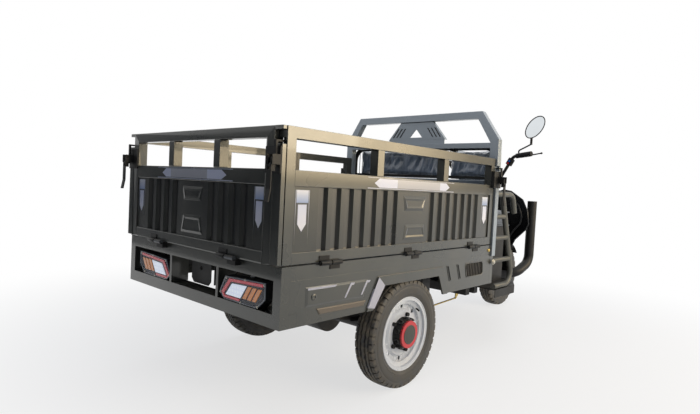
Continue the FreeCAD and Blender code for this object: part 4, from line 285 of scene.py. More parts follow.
def enamel(name, dark, light, dust, metallic, roughness, coat=0.6):
    """Sprayed paint that drifts between two tones, with flake and orange peel in its bump."""
    material, tree, shader = new_material(name, Metallic=metallic, Coat_Weight=coat, Coat_Roughness=0.06)
    place = add_node(tree, "TexCoord")
    cloud = add_node(tree, "TexNoise", [("Vector", place.outputs["Object"])],
                     [("Scale", per_metre(CLOUD_MM)), ("Detail", 3.0), ("Roughness", 0.55)])
    tint = add_node(tree, "Mix", [(0, cloud.outputs["Fac"])], [(6, linear(dark)), (7, linear(light))],
                    data_type="RGBA")
    grime = road_dust(tree, dust, DUST_MM)
    colour = add_node(tree, "Mix", [(0, grime.outputs[0]), (6, tint.outputs[2])], [(7, linear("#8d8573"))],
                      data_type="RGBA")
    tree.links.new(colour.outputs[2], shader.inputs["Base Color"])
    rough = add_node(tree, "MapRange", [("Value", cloud.outputs["Fac"])],
                     [("From Min", 0.3), ("From Max", 0.7), ("To Min", roughness - 0.05), ("To Max", roughness + 0.07)])
    tree.links.new(rough.outputs["Result"], shader.inputs["Roughness"])
    flake = add_node(tree, "TexNoise", [("Vector", place.outputs["Object"])],
                     [("Scale", per_metre(FLAKE_MM)), ("Detail", 2.0)])
    peel = add_node(tree, "TexNoise", [("Vector", place.outputs["Object"])],
                    [("Scale", per_metre(PEEL_MM)), ("Detail", 1.0)])
    mixed = add_node(tree, "Math", [(0, flake.outputs["Fac"]), (1, peel.outputs["Fac"])], operation="ADD")
    bump = add_node(tree, "Bump", [("Height", mixed.outputs[0])], [("Strength", 0.04), ("Distance", 0.002)])
    tree.links.new(bump.outputs["Normal"], shader.inputs["Normal"])
    return material


# Valleys of the ribs: painted shading, a shade paler than the crests so that the eye reads the ribs, with a little
# dust.
shade_enamel = enamel("rib_valley_enamel_painted_shading", "#393a37", "#444441", 0.08, 0.4, 0.32)
# Full gloss on tubes and beams: a soft sheen that runs along each bar.
body_enamel = enamel("olive_grey_metallic_enamel", "#3f413d", "#4a4b46", 0.14, 0.4, 0.3)
# The pressed sheets carry the frames' paint, painted a shade darker than their frames: painted shade.
panel_enamel = enamel("olive_grey_panel_enamel_painted_shade", "#323430", "#3d3e3a", 0.10, 0.4, 0.32)
# The head guard's slate enamel, painted paler and bluer because the guard faces the sky: painted sky light.
guard_enamel = enamel("slate_enamel_painted_sky_light", "#8a949c", "#99a3ab", 0.10, 0.4, 0.3)
# Steps are rubbed dull by shoes and hands: hardly any coat, and a broad soft highlight.
step_enamel = enamel("satin_step_enamel", "#4a4b47", "#565751", 0.12, 0.2, 0.52, coat=0.1)
print("paint:", body_enamel.name, panel_enamel.name, guard_enamel.name, step_enamel.name)

# %% [markdown]
# ## Powder coat, plastics and plain metals
# Each of these finishes starts from what the real stuff is and how its surface was made. They could be single colours,
# but even a clean moulding shows some grain and wear. So one recipe gives each a slightly uneven colour, wear in its
# roughness and grain in its bump, and dust where it is near the road. The grain of powder and mouldings is about 0.5 mm
# on the real thing, and is drawn at 2 to 4 mm so that it shows.

# %% Recipe for plain finishes
WEAR_MM, GRIME_MM = 120, 70


def plain_finish(name, colour, roughness, grain_mm, strength, dust=0.0, **sockets):
    """Nearly even colour with a moulded or powdery grain in its bump and a little wear in its roughness."""
    material, tree, shader = new_material(name, **sockets)
    place = add_node(tree, "TexCoord")
    wear = add_node(tree, "TexNoise", [("Vector", place.outputs["Object"])],
                    [("Scale", per_metre(WEAR_MM)), ("Detail", 4.0)])
    shade = [c * 0.82 for c in linear(colour)[:3]] + [1.0]
    tone = add_node(tree, "Mix", [(0, wear.outputs["Fac"])], [(6, shade), (7, linear(colour))], data_type="RGBA")
    if dust:
        grime = road_dust(tree, dust, GRIME_MM)
        tone = add_node(tree, "Mix", [(0, grime.outputs[0]), (6, tone.outputs[2])], [(7, linear("#857c6b"))],
                        data_type="RGBA")
    tree.links.new(tone.outputs[2], shader.inputs["Base Color"])
    rough = add_node(tree, "MapRange", [("Value", wear.outputs["Fac"])],
                     [("From Min", 0.3), ("From Max", 0.7), ("To Min", roughness * 0.85), ("To Max", roughness * 1.2)])
    tree.links.new(rough.outputs["Result"], shader.inputs["Roughness"])
    grain = add_node(tree, "TexNoise", [("Vector", place.outputs["Object"])],
                     [("Scale", per_metre(grain_mm)), ("Detail", 3.0)])
    bump = add_node(tree, "Bump", [("Height", grain.outputs["Fac"])], [("Strength", strength), ("Distance", 0.001)])
    tree.links.new(bump.outputs["Normal"], shader.inputs["Normal"])
    return material


print("plain recipe ready")

# %% Blacks
# Baked epoxy powder: near black and satin, with a fine orange peel.
black_powder = plain_finish("black_powder_coat", "#141516", 0.45, 3.0, 0.12, dust=0.12, Specular_IOR_Level=0.25)
# Brushed-on chassis paint: dull, uneven and dusty.
chassis_black = plain_finish("chassis_black", "#161616", 0.55, 4.0, 0.15, dust=0.35)
# Polished mould, ABS: deep gloss with long soft waves.
black_abs = plain_finish("black_gloss_abs", "#0d0e10", 0.26, 60.0, 0.05, dust=0.05, Specular_IOR_Level=0.35)
# Etched mould: a leathery grain that kills the gloss.
black_moulding = plain_finish("black_grained_moulding", "#18191b", 0.6, 2.5, 0.25, Specular_IOR_Level=0.2)
# Polypropylene boxes in the seat box: dark grey and grained.
battery_case = plain_finish("battery_case", "#26282a", 0.5, 3.0, 0.2)
print("blacks ready")

# %% Metals and colours
# Bright zinc on bolts and fork tubes: a pale satin metal.
zinc = plain_finish("zinc_plated_steel", "#b8b4a8", 0.3, 6.0, 0.08, Metallic=1.0)
# Bare pins of the hinges, worn grey.
worn_steel = plain_finish("worn_hinge_steel", "#5d6064", 0.42, 6.0, 0.1, Metallic=1.0)
# Passivated zinc on the brake rod: a brassy tint.
yellow_zinc = plain_finish("yellow_zinc_plate", "#c9b06a", 0.35, 6.0, 0.08, Metallic=1.0)
# Sprayed wheel silver: pale, glossy and a little dusty.
wheel_silver = plain_finish("silver_wheel_enamel", "#dfe4ea", 0.26, 30.0, 0.05, dust=0.12, Coat_Weight=0.4)
# The red ring on each hub: the one strong colour on the side.
hub_red = plain_finish("red_hub_enamel", "#d8222c", 0.3, 20.0, 0.05, Coat_Weight=0.3)
# Painted steel caps: dark, and dull from the dust of the brakes.
hub_cap = plain_finish("dark_hub_cap", "#3b3d38", 0.45, 8.0, 0.1)
# Moulded switch keys: small spots of clear bright colour on the black handlebar.
blue_key = plain_finish("blue_key_plastic", "#1f6fe0", 0.3, 5.0, 0.1)
red_key = plain_finish("red_key_plastic", "#d4283a", 0.3, 5.0, 0.1)
# Lower edge of the skirt, where mud has dried on the paint.
skirt_strip = plain_finish("dusty_lower_strip", "#6f665a", 0.4, 12.0, 0.08, dust=0.2, Metallic=0.3)
# Silver-lavender foil on the skirt: a cool flash against the olive.
slash_silver = plain_finish("silver_lavender_film", "#c3c4d0", 0.3, 40.0, 0.04, Coat_Weight=0.3)
# Silvered glass: mirrors what is behind the driver.
mirror_glass = plain_finish("silvered_glass", "#e6ebee", 0.03, 90.0, 0.002, Metallic=1.0)
print("plain finishes:", len(bpy.data.materials), "materials so far")

# %% [markdown]
# ## Dressing the solids
# Edges of real sheet and tube are never razor sharp. The solids could be rounded in their source, but that would make
# them heavy. Here a weld joins the split points of each solid's mesh, and a small bevel with an angle limit catches
# the light along every edge. Then each group of solids gets its finish.

# %% Soft edges
WELD_MM, EDGE_ANGLE = 0.01, math.radians(30)


def soft_edge(piece, width_mm):
    """Rounds the edges that turn by more than the edge angle."""
    bevel = piece.modifiers.new("soft_edge", "BEVEL")
    bevel.width = width_mm / 1000
    bevel.segments = 2
    bevel.limit_method = "ANGLE"
    bevel.angle_limit = EDGE_ANGLE
    bevel.harden_normals = True
    return piece


def dress(material, names, edge_mm=0.0):
    """Gives solids their finish, and soft edges where these show."""
    for name in names:
        piece = nodes[name]
        piece.data.materials.clear()
        piece.data.materials.append(material)
        if edge_mm:
            weld = piece.modifiers.new("weld", "WELD")
            weld.merge_threshold = WELD_MM / 1000
            soft_edge(piece, edge_mm)


print("edges are softened from", round(math.degrees(EDGE_ANGLE)), "degrees on")

# %% Finishes of the solids
dress(body_enamel, ["bed_frame", "side_skirts", "cargo_floor"], 0.8)
dress(body_enamel, ["right_gate_frame", "left_gate_frame", "tailgate_frame"], 2.5)
dress(panel_enamel, ["right_gate_panel", "left_gate_panel", "tailgate_panel"], 0.8)
dress(step_enamel, ["side_guards"], 0.8)
dress(guard_enamel, ["head_guard"], 2.0)
dress(black_powder, ["right_gate_hardware", "left_gate_hardware", "tailgate_hardware", "plate_bracket"], 0.5)
dress(black_powder, [end + "_" + side + "_latch_" + part for end in ("rear", "front") for side, sign in SIDES
                     for part in ("lever", "hook")], 0.8)
dress(black_powder, ["seat_box", "footboard", "right_brake_lever", "left_brake_lever"], 0.8)
dress(black_powder, ["backrest_frame", "hinge_pins", "left_rear_hub", "right_rear_hub", "handlebar", "front_bumper"])
dress(chassis_black, ["chassis_frame", "rear_axle", "drive_motor", "leaf_springs", "brake_pedal"], 0.8)
dress(black_moulding, ["handlebar_controls", "throttle_grip", "tail_lamps", "head_lamp"])
dress(black_abs, ["front_fairing", "front_mudguard", "right_mirror", "left_mirror"])
dress(battery_case, ["battery_and_controller"], 3.0)
dress(yellow_zinc, ["brake_linkage"], 0.4)
dress(zinc, ["steering_fork", "fork_sliders"])
dress(wheel_silver, ["left_rear_rim", "right_rear_rim", "front_rim"])
dress(blue_key, ["blue_button"], 0.6)
dress(red_key, ["red_button"], 0.6)
print("dressed", sum(1 for o in nodes.values() if o.data.materials and o.data.materials[0]), "of", len(nodes))

# %% [markdown]
# ## Faces with a finish of their own
# Some groups of solids hold several stuffs: a hub has its red ring and a mirror its glass, and the valleys of the ribs
# get painted shading, a tone apart from their crests. These could be cut into solids of their own, but they are one
# piece on the real vehicle.
# So each face gets its finish by where it lies.

# %% Faces by place
AXLE_X, AXLE_Z = -713.5, 245.0
HUB_FACE, RING_OUT, RING_IN = 559.0, 61.0, 38.5
GLASS_X, HINGE_Z, TAIL_HINGE_X = 823.5, 609, -1485
SIDE_VALLEY, TAIL_VALLEY = 536, -1471.5


def finish_faces(node_name, material, belongs):
    """Gives the material to the faces whose centre, in millimetres, and normal pass the test."""
    mesh = nodes[node_name].data
    mesh.materials.append(material)
    number = len(mesh.materials) - 1
    count = 0
    for face in mesh.polygons:
        if belongs(face.center * 1000, face.normal):
            face.material_index = number
            count += 1
    print(node_name, material.name, count, "faces")


def from_axle(p):
    return math.hypot(p.x - AXLE_X, p.z - AXLE_Z)


def pin_end(p, n):
    return abs(p.z - HINGE_Z) < 5 and (abs(n.x) > 0.9 or abs(n.y) > 0.9 and p.x < TAIL_HINGE_X)


# Painted shading: the deeper valley faces of the gate and tailgate sheets get the rib valley enamel.
for side, sign in SIDES:
    finish_faces(side + "_rear_hub", hub_red,
                 lambda p, n: abs(p.y) > HUB_FACE - 6 and RING_IN < from_axle(p) < RING_OUT)
    finish_faces(side + "_rear_hub", hub_cap, lambda p, n: abs(p.y) > HUB_FACE - 8 and from_axle(p) <= RING_IN)
    finish_faces(side + "_mirror", mirror_glass, lambda p, n: p.x < GLASS_X and n.x < -0.9)
    finish_faces(side + "_gate_panel", shade_enamel, lambda p, n: abs(p.y) < SIDE_VALLEY)
finish_faces("hinge_pins", worn_steel, pin_end)
finish_faces("tailgate_panel", shade_enamel, lambda p, n: p.x > TAIL_VALLEY)

# %% [markdown]
# ## Tyres
# A load carrier's tyre has a row of rectangular lugs on each shoulder, zig-zag ribs in the middle and rings on its
# sidewall. A bump could fake the tread, but then the tyre's outline would stay smooth. So the tread is a grid: rows go
# round the wheel and tracks run across it, and each crossing is pushed in where there is a groove. The rows crowd
# together at the groove walls, so the lugs get crisp edges.

# %% Tyre rubber
MUD_MM, RUBBER_GRAIN_MM = 45, 3  # the grain of real rubber is finer, and is drawn at 3 mm so that it shows
CLEAN_REACH, DUSTY_REACH = 0.222, 0.243  # distance from the axle, in metres

# Rubber with carbon black: charcoal and satin on the sidewall, dull tan on the tread where mud has dried.
tyre_rubber, tree, shader = new_material("carbon_black_tyre_rubber", Specular_IOR_Level=0.35)
place = add_node(tree, "TexCoord")
flat_spot = add_node(tree, "VectorMath", [(0, place.outputs["Object"])], [(1, (1, 0, 1))], operation="MULTIPLY")
reach = add_node(tree, "VectorMath", [(0, flat_spot.outputs[0])], operation="LENGTH")
worn = add_node(tree, "MapRange", [("Value", reach.outputs["Value"])],
                [("From Min", CLEAN_REACH), ("From Max", DUSTY_REACH), ("To Min", 0.12), ("To Max", 0.85)])
mud = add_node(tree, "TexNoise", [("Vector", place.outputs["Object"])],
               [("Scale", per_metre(MUD_MM)), ("Detail", 7.0), ("Roughness", 0.7)])
thick = add_node(tree, "MapRange", [("Value", mud.outputs["Fac"])], [("From Min", 0.4), ("From Max", 0.68)])
dusty = add_node(tree, "Math", [(0, worn.outputs["Result"]), (1, thick.outputs["Result"])], operation="MULTIPLY")
rubber = add_node(tree, "Mix", [(0, dusty.outputs[0])], [(6, linear("#484847")), (7, linear("#958b79"))],
                  data_type="RGBA")
tree.links.new(rubber.outputs[2], shader.inputs["Base Color"])
dull = add_node(tree, "MapRange", [("Value", thick.outputs["Result"])], [("To Min", 0.48), ("To Max", 0.8)])
tree.links.new(dull.outputs["Result"], shader.inputs["Roughness"])
grain = add_node(tree, "TexNoise", [("Vector", place.outputs["Object"])],
                 [("Scale", per_metre(RUBBER_GRAIN_MM)), ("Detail", 4.0)])
bump = add_node(tree, "Bump", [("Height", grain.outputs["Fac"])], [("Strength", 0.25), ("Distance", 0.001)])
tree.links.new(bump.outputs["Normal"], shader.inputs["Normal"])
print("rubber ready")

# %% New meshes
def add_piece(name, points, faces, material, body, slot, smooth=False, origin=(0, 0, 0)):
    """New piece, in metres, that rides on the body that carries it."""
    mesh = bpy.data.meshes.new(name)
    mesh.from_pydata([Vector(p) for p in points], [], faces)
    mesh.materials.append(material)
    if smooth:
        mesh.shade_smooth()
    piece = bpy.data.objects.new(name, mesh)
    piece.location = origin
    bpy.context.collection.objects.link(piece)
    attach(piece, body)
    return piece


def stack_rings(rings, loop=False):
    """Points and faces of rings with equal counts, joined one to the next; the ends are closed, or meet in a loop."""
    count, total = len(rings[0]), len(rings)
    points = [p for ring in rings for p in ring]
    faces = []
    for level in range(total if loop else total - 1):
        a, b = level * count, (level + 1) % total * count
        for i in range(count):
            j = (i + 1) % count
            faces.append((a + i, a + j, b + j, b + i))
    if not loop:
        faces.append(tuple(reversed(range(count))))
        faces.append(tuple(range((total - 1) * count, total * count)))
    return points, faces


print("mesh helpers ready")

# %% Tyre shape
TYRE_RADIUS, RIM_RADIUS = 245, 165
SLOT_WALL, SLOT_PULL, SHARP_ANGLE = 0.03, 0.93, math.radians(38)
# Bead to shoulder: place across as a share of half the width, and height as a share of the tyre's height.
SIDEWALL = ((0.83, 0.010), (0.86, 0.06), (0.93, 0.16), (0.955, 0.20), (0.945, 0.205), (0.945, 0.235), (0.965, 0.24),
            (0.99, 0.36), (1.0, 0.46), (0.995, 0.60), (0.985, 0.61), (0.985, 0.64), (0.99, 0.65), (0.972, 0.75))


def tread_tracks(drop, zigzag):
    """Tracks across the tread: place, zig-zag sway, depth and whether the shoulder slots cut them."""
    shoulder = [(0.945, 0, 0.19, True), (0.90, 0, 0.085, True), (0.82, 0, 0.045, True), (0.62, 0, 0.02, True)]
    groove = [(0.58, 0, drop, False), (0.50, 0, drop, False), (0.46, 0, 0.012, False)]
    ribs = [(0.31, zigzag, 0.006, False), (0.27, zigzag, drop, False), (0.16, zigzag, drop, False),
            (0.12, zigzag, 0.002, False)]
    return shoulder + groove + ribs


def tyre_rows(width, lugs, slot_depth, slot_share, sway):
    """Rows of points round a tyre, in metres; each lug has a slot in front of it."""
    half, height = width / 2, TYRE_RADIUS - RIM_RADIUS
    drop = slot_depth / height
    line = [(y, 0.0, 1 - r, False) for y, r in SIDEWALL] + tread_tracks(drop, sway)
    tracks = line + [(-y, zigzag, depth, shoulder) for y, zigzag, depth, shoulder in reversed(line)]
    slot = ((0.0, False), (SLOT_WALL, True), (slot_share - SLOT_WALL, True), (slot_share, False))
    rows = []
    for lug in range(lugs):
        for part, cut in slot + ((0.5, False), (0.75, False)):
            angle = math.tau * (lug + part) / lugs
            swing = abs(((part * 2) % 2) - 1) - 0.5
            row = []
            for y, zigzag, depth, shoulder in tracks:
                low, pull = (max(depth, drop), SLOT_PULL) if shoulder and cut else (depth, 1.0)
                r, across = TYRE_RADIUS - low * height, half * (y * pull + zigzag * swing)
                row.append(Vector((math.cos(angle) * r, across, math.sin(angle) * r)) / 1000)
            rows.append(row)
    return rows


print("tracks across a tyre:", 2 * (len(SIDEWALL) + len(tread_tracks(0.1, 0.0))))

# %% Three tyres
REAR_WHEEL_Y, FRONT_AXLE_X = 493, 1286.5


def tyre(name, node_name, body, centre, **shape):
    points, faces = stack_rings(tyre_rows(**shape), loop=True)
    piece = add_piece(name, points, faces, tyre_rubber, body, "tyre_rubber", smooth=True, origin=Vector(centre) / 1000)
    piece.data.set_sharp_from_angle(angle=SHARP_ANGLE)
    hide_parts(node_name)
    print(name, len(faces), "faces")


for side, sign in SIDES:
    tyre(side + "_rear_tread_tyre", side + "_rear_tyre", side + "_rear_wheel", (AXLE_X, sign * REAR_WHEEL_Y, AXLE_Z),
         width=106, lugs=44, slot_depth=8, slot_share=0.24, sway=0.07)
tyre("front_block_tyre", "front_tyre", "front_wheel", (FRONT_AXLE_X, 0, AXLE_Z),
     width=95, lugs=32, slot_depth=11, slot_share=0.42, sway=0.0)

# %% [markdown]
# ## Wheel discs
# The rims are pressed silver discs. Close up they show a rolled lip and step, shallow dimples near the well, a rubber
# valve and a fluted black hub. They could be cut into the solids, but all of them are round ridges a few millimetres
# thick. So each is a bead: a line with a round section, which stays smooth from near by.

# %% Beads
RING_STEPS = 96


def bead(name, points, radius_mm, material, body, closed=False):
    """Round bead along a line in millimetres, as a curve with a bevel."""
    curve = bpy.data.curves.new(name, "CURVE")
    curve.dimensions = "3D"
    curve.bevel_depth = radius_mm / 1000
    curve.bevel_resolution = 3
    curve.use_fill_caps = True
    spline = curve.splines.new("POLY")
    spline.points.add(len(points) - 1)
    for point, place in zip(spline.points, points):
        point.co = (*(c / 1000 for c in place), 1)
    spline.use_cyclic_u = closed
    curve.materials.append(material)
    piece = bpy.data.objects.new(name, curve)
    bpy.context.collection.objects.link(piece)
    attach(piece, body)
    return piece


def rim_rings(name, axle_x, lip_y, step_y, body):
    """Rolled lip and step of a rim, as two rings round its axle."""
    for part, y, radius, thickness in (("lip", lip_y, 163, 3.2), ("step", step_y, 150, 2.2)):
        angles = [math.tau * i / RING_STEPS for i in range(RING_STEPS)]
        ring = [(axle_x + math.cos(a) * radius, y, AXLE_Z + math.sin(a) * radius) for a in angles]
        bead(name + "_rim_" + part, ring, thickness, wheel_silver, body, closed=True)


for side, sign in SIDES:
    rim_rings(side, AXLE_X, sign * 537, sign * 531, side + "_rear_wheel")
    rim_rings("front_" + side, FRONT_AXLE_X, sign * 39.4, sign * 34.0, "front_wheel")
print("rims ringed")

# %% Hub flutes, dimples and valves
FLUTES, FLUTE_REACH, FLUTE_TURN = 10, 71.5, 0.13
FLUTE_LINE = ((-1, 524), (-1, 541), (-0.6, 547), (0.6, 547), (1, 541), (1, 524))
DIMPLES, DIMPLE_REACH, DIMPLE_TALL, DIMPLE_WIDE, DISC_FACE = 8, 118, 16, 13, 518.2
VALVE_LINE = ((96, 519), (93, 533), (90, 541))
for side, sign in SIDES:
    body = side + "_rear_wheel"
    for number in range(FLUTES):
        angle = math.tau * (number + 0.5) / FLUTES
        flute = [(AXLE_X + math.cos(angle + t * FLUTE_TURN) * FLUTE_REACH, sign * y,
                  AXLE_Z + math.sin(angle + t * FLUTE_TURN) * FLUTE_REACH) for t, y in FLUTE_LINE]
        bead("%s_hub_flute_%d" % (side, number), flute, 2.6, black_abs, body)
    for number in range(DIMPLES):
        angle = math.tau * (number + 0.5) / DIMPLES
        spin = Vector((math.cos(angle), 0, math.sin(angle)))
        across = Vector((-spin.z, 0, spin.x))
        arc = []
        for turn in range(-120, 121, 30):
            turn = math.radians(turn)
            spot = spin * (DIMPLE_REACH + DIMPLE_TALL * math.cos(turn)) + across * DIMPLE_WIDE * math.sin(turn)
            arc.append((AXLE_X + spot.x, sign * DISC_FACE, AXLE_Z + spot.z))
        bead("%s_dimple_%d" % (side, number), arc, 1.3, wheel_silver, body)
    stem = [(AXLE_X + reach, sign * y, AXLE_Z + reach) for reach, y in VALVE_LINE]
    bead(side + "_valve", stem, 4.0, black_moulding, body)
print("wheel details ready")

# %% [markdown]
# ## Hub caps
# A cap pressed from thin steel keeps water out of each rear hub. Such round parts are turned or spun, and we make them
# the same way: a profile of radius and height pairs is spun round an axis. A cylinder with a bevel would miss its rim.

# %% Hub caps
CAP_PROFILE = ((43, 0), (43, 1.2), (40, 2.0), (38, 1.4), (20, 2.0), (3, 2.2))


def lathe(name, profile, centre, axis, material, body, slot, steps=64):
    """Ring or cap spun from (radius, height) pairs in millimetres round an axis."""
    turn = Vector(axis).to_track_quat("Z", "Y").to_matrix()
    rings = []
    for radius, height in profile:
        ring = []
        for i in range(steps):
            angle = math.tau * i / steps
            spot = turn @ Vector((math.cos(angle) * radius, math.sin(angle) * radius, height))
            ring.append((Vector(centre) + spot) / 1000)
        rings.append(ring)
    points, faces = stack_rings(rings)
    return soft_edge(add_piece(name, points, faces, material, body, slot), 0.4)


for side, sign in SIDES:
    lathe(side + "_hub_cap", CAP_PROFILE, (AXLE_X, sign * HUB_FACE, AXLE_Z), (0, sign, 0), hub_cap,
          side + "_rear_wheel", "black_metal")
print("hub caps on")

# %% [markdown]
# ## Pressings on the gates
# The sheets of the gates have a plain middle field with two shallow trays, one above the other, that stiffen it. On the
# real sheet a press pushes them out. We could push the sheet's own mesh, but it has only a few long faces. So each tray
# is a plate of its own on the sheet: an outline, and smaller ones a few millimetres out from it.

# %% Plates and outlines
def face_out(piece):
    """Turns every face of a closed mesh outwards."""
    fix = bmesh.new()
    fix.from_mesh(piece.data)
    bmesh.ops.recalc_face_normals(fix, faces=fix.faces)
    fix.to_mesh(piece.data)
    fix.free()
    return piece


def raised_plate(name, outlines, to_space, material, body, slot, edge_mm):
    """Plate or pressing from outlines of equal length, each given with its height, all in millimetres."""
    rings = [[Vector(to_space(a, b, height)) / 1000 for a, b in outline] for outline, height in outlines]
    points, faces = stack_rings(rings)
    piece = face_out(add_piece(name, points, faces, material, body, slot))
    return soft_edge(piece, edge_mm) if edge_mm else piece


def shrink(outline, margin):
    """Outline moved towards its middle by a margin in millimetres."""
    mid = Vector((sum(a for a, b in outline) / len(outline), sum(b for a, b in outline) / len(outline)))
    moved = []
    for a, b in outline:
        step = mid - Vector((a, b))
        moved.append((a + math.copysign(margin, step.x), b + math.copysign(margin, step.y)))
    return moved


def on_side(sign, face):
    """Puts an outline of length and height on a side face, this far from the middle."""
    return lambda a, b, h: (a, sign * (face + h), b)


def on_tail(face):
    """Puts an outline of width and height on a face at the tail, this far behind the origin."""
    return lambda a, b, h: (-face - h, a, b)


print("plate helpers ready")

# %% Trays of the gates
GATE_SHEET, TAIL_SHEET = 544, 1479.5
SIDE_TRAYS = {"upper": ((-798, 860), (-624, 860), (-640, 795), (-784, 795)),
              "lower": ((-776, 735), (-632, 735), (-621, 668), (-787, 668))}
TAIL_TRAYS = {"upper": ((-76, 856), (76, 856), (64, 800), (-64, 800)),
              "lower": ((-66, 741), (66, 741), (80, 668), (-80, 668))}
for level, outline in SIDE_TRAYS.items():
    steps = [(outline, -1), (outline, 0.5), (shrink(outline, 12), 5), (shrink(outline, 20), 3)]
    for side, sign in SIDES:
        raised_plate("%s_gate_%s_tray" % (side, level), steps, on_side(sign, GATE_SHEET), panel_enamel, side + "_gate",
                     "body_paint", 1.6)
for level, outline in TAIL_TRAYS.items():
    steps = [(outline, -1), (outline, 0.2), (shrink(outline, 10), 1.6), (shrink(outline, 18), 0.7)]
    raised_plate("tailgate_%s_tray" % level, steps, on_tail(TAIL_SHEET), panel_enamel, "tailgate", "body_paint", 0.8)
print("trays:", 2 * len(SIDE_TRAYS) + len(TAIL_TRAYS))

# %% [markdown]
# ## Reflective film
# The gates carry silver-white film: a short block over a pointed tab with a dark line round it, thin lines at both
# sides that fade downwards, and a long band with pointed ends on each middle rail. Real film is printed, cut and stuck
# on. A picture on the sheet would blur from near by, so each patch is a thin plate with clean edges. The tone of a
# patch changes with height.

# %% Film finish
BEAD_MM = 2.5  # the glass beads of real film are under 0.1 mm; drawn coarser so that they show


def film(name, top, bottom, high_mm, low_mm, roughness):
    material, tree, shader = new_material(name, Coat_Weight=0.5, Coat_Roughness=0.08)
    place = add_node(tree, "TexCoord")
    height = add_node(tree, "SeparateXYZ", [(0, place.outputs["Object"])])
    rise = add_node(tree, "MapRange", [("Value", height.outputs["Z"])],
                    [("From Min", low_mm / 1000), ("From Max", high_mm / 1000)])
    tone = add_node(tree, "Mix", [(0, rise.outputs[0])], [(6, linear(bottom)), (7, linear(top))], data_type="RGBA")
    tree.links.new(tone.outputs[2], shader.inputs["Base Color"])
    beads = add_node(tree, "TexVoronoi", [("Vector", place.outputs["Object"])], [("Scale", per_metre(BEAD_MM))])
    rough = add_node(tree, "MapRange", [("Value", beads.outputs["Distance"])],
                     [("To Min", roughness - 0.06), ("To Max", roughness + 0.08)])
    tree.links.new(rough.outputs[0], shader.inputs["Roughness"])
    bump = add_node(tree, "Bump", [("Height", beads.outputs["Distance"])], [("Strength", 0.05), ("Distance", 0.0005)])
    tree.links.new(bump.outputs["Normal"], shader.inputs["Normal"])
    return material


# The block turns from white to blue towards its foot.
block_film = film("block_reflective_film", "#f4f4f6", "#9fb2d4", 872, 826, 0.3)
# The tab and the ends of the bands are the whitest.
tab_film = film("tab_reflective_film", "#dfe3f2", "#eeeef4", 815, 735, 0.3)
# Side lines sink into the olive of the sheet.
line_film = film("fading_line_film", "#c9ccd8", "#5d5c55", 860, 690, 0.35)
# The field of a band is printed a plain light grey.
band_film = film("band_reflective_film", "#c6c6c8", "#b9b9bc", 931, 884, 0.3)
# Ink round the tab: nearly black, with the gloss of the film.
dark_film = film("dark_line_film", "#3a3c42", "#33353a", 815, 735, 0.4)
print("films:", block_film.name, tab_film.name, line_film.name, band_film.name)

# %% Patches of film
FILM_MM = 0.35


def flat_plate(name, outline, heights, to_space, material, body, slot, edge_mm):
    """Plate with upright sides between two heights."""
    return raised_plate(name, [(outline, height) for height in heights], to_space, material, body, slot, edge_mm)


def oblong(left, right_edge, start, end):
    """Corners of an upright rectangle, from its start to its end."""
    return ((left, start), (right_edge, start), (right_edge, end), (left, end))


def film_patch(name, outline, lift, to_space, material, body):
    """Patch of film that ends this far out from its sheet; its edge stays sharp."""
    flat_plate(name, outline, (0.0, lift), to_space, material, body, "rim_steel", 0)


print("film is", FILM_MM, "mm thick")

# %% Marks and bands
MARK_TALL, BLOCK_TALL, TAB_POINT, LINE_WIDE, LINE_TAIL = 148, 46, 30, 3, 40
BAND_LOW, BAND_MIDDLE, BAND_HIGH, BAND_POINT, BAND_EDGE_MORE = 890, 907, 926, 32, 40


def film_mark(name, left, right_edge, top, to_space, body):
    """Block, framed tab and side lines between two edges, hanging from a height."""
    width = right_edge - left
    low, line = top - MARK_TALL, top - BLOCK_TALL

    def tab(inset, drop):
        a, b, bend = left + inset, right_edge - inset, low + TAB_POINT
        return ((a, line - drop), (b, line - drop), (b, bend), ((a + b) / 2, low + drop), (a, bend))

    film_patch(name + "_block", oblong(left + 5, right_edge - 5, top, line + 2), FILM_MM, to_space, block_film, body)
    film_patch(name + "_frame", tab(width * 0.12, -2), FILM_MM, to_space, dark_film, body)
    film_patch(name + "_tab", tab(width * 0.19, 4), FILM_MM * 2, to_space, tab_film, body)
    for number, edge in enumerate((left, right_edge - LINE_WIDE)):
        foot = low - LINE_TAIL
        taper = ((edge, top), (edge + LINE_WIDE, top), (edge + 2, foot), (edge + 1, foot))
        film_patch("%s_line_%d" % (name, number), taper, FILM_MM, to_space, line_film, body)


def film_band(name, start, end, to_space, body):
    """Long band with pointed ends, a printed field and a thin line along each edge."""
    for part, low, high in (("edge", 885, 888), ("top_edge", 928, 930)):
        line = oblong(start - BAND_EDGE_MORE, end + BAND_EDGE_MORE, low, high)
        film_patch(name + "_" + part, line, FILM_MM, to_space, line_film, body)
    first, last = start + BAND_POINT, end - BAND_POINT
    outline = ((start, BAND_MIDDLE), (first, BAND_LOW), (last, BAND_LOW), (end, BAND_MIDDLE), (last, BAND_HIGH),
               (first, BAND_HIGH))
    film_patch(name, outline, FILM_MM, to_space, tab_film, body)
    first, last = start + 0.27 * (end - start), end - 0.15 * (end - start)
    film_patch(name + "_field", oblong(first, last, BAND_LOW, BAND_HIGH), FILM_MM * 2, to_space, band_film, body)


print("a mark is", MARK_TALL, "mm tall, a band", BAND_HIGH - BAND_LOW, "mm")

# %% Film on the gates
GATE_RAIL, TAIL_RAIL = 550, 1485.5
SIDE_FILM_TOP, TAIL_FILM_TOP = 868, 872
for side, sign in SIDES:
    on_sheet, gate = on_side(sign, GATE_SHEET), side + "_gate"
    film_mark(side + "_rear_film", -1414, -1349, SIDE_FILM_TOP, on_sheet, gate)
    film_mark(side + "_front_film", -92, -28, SIDE_FILM_TOP, on_sheet, gate)
    film_band(side + "_gate_band", -1004, -437, on_side(sign, GATE_RAIL), gate)
    start, end = sorted((sign * 460, sign * 404))
    film_mark("tailgate_%s_film" % side, start, end, TAIL_FILM_TOP, on_tail(TAIL_SHEET), "tailgate")
film_band("tailgate_band", -238, 238, on_tail(TAIL_RAIL), "tailgate")
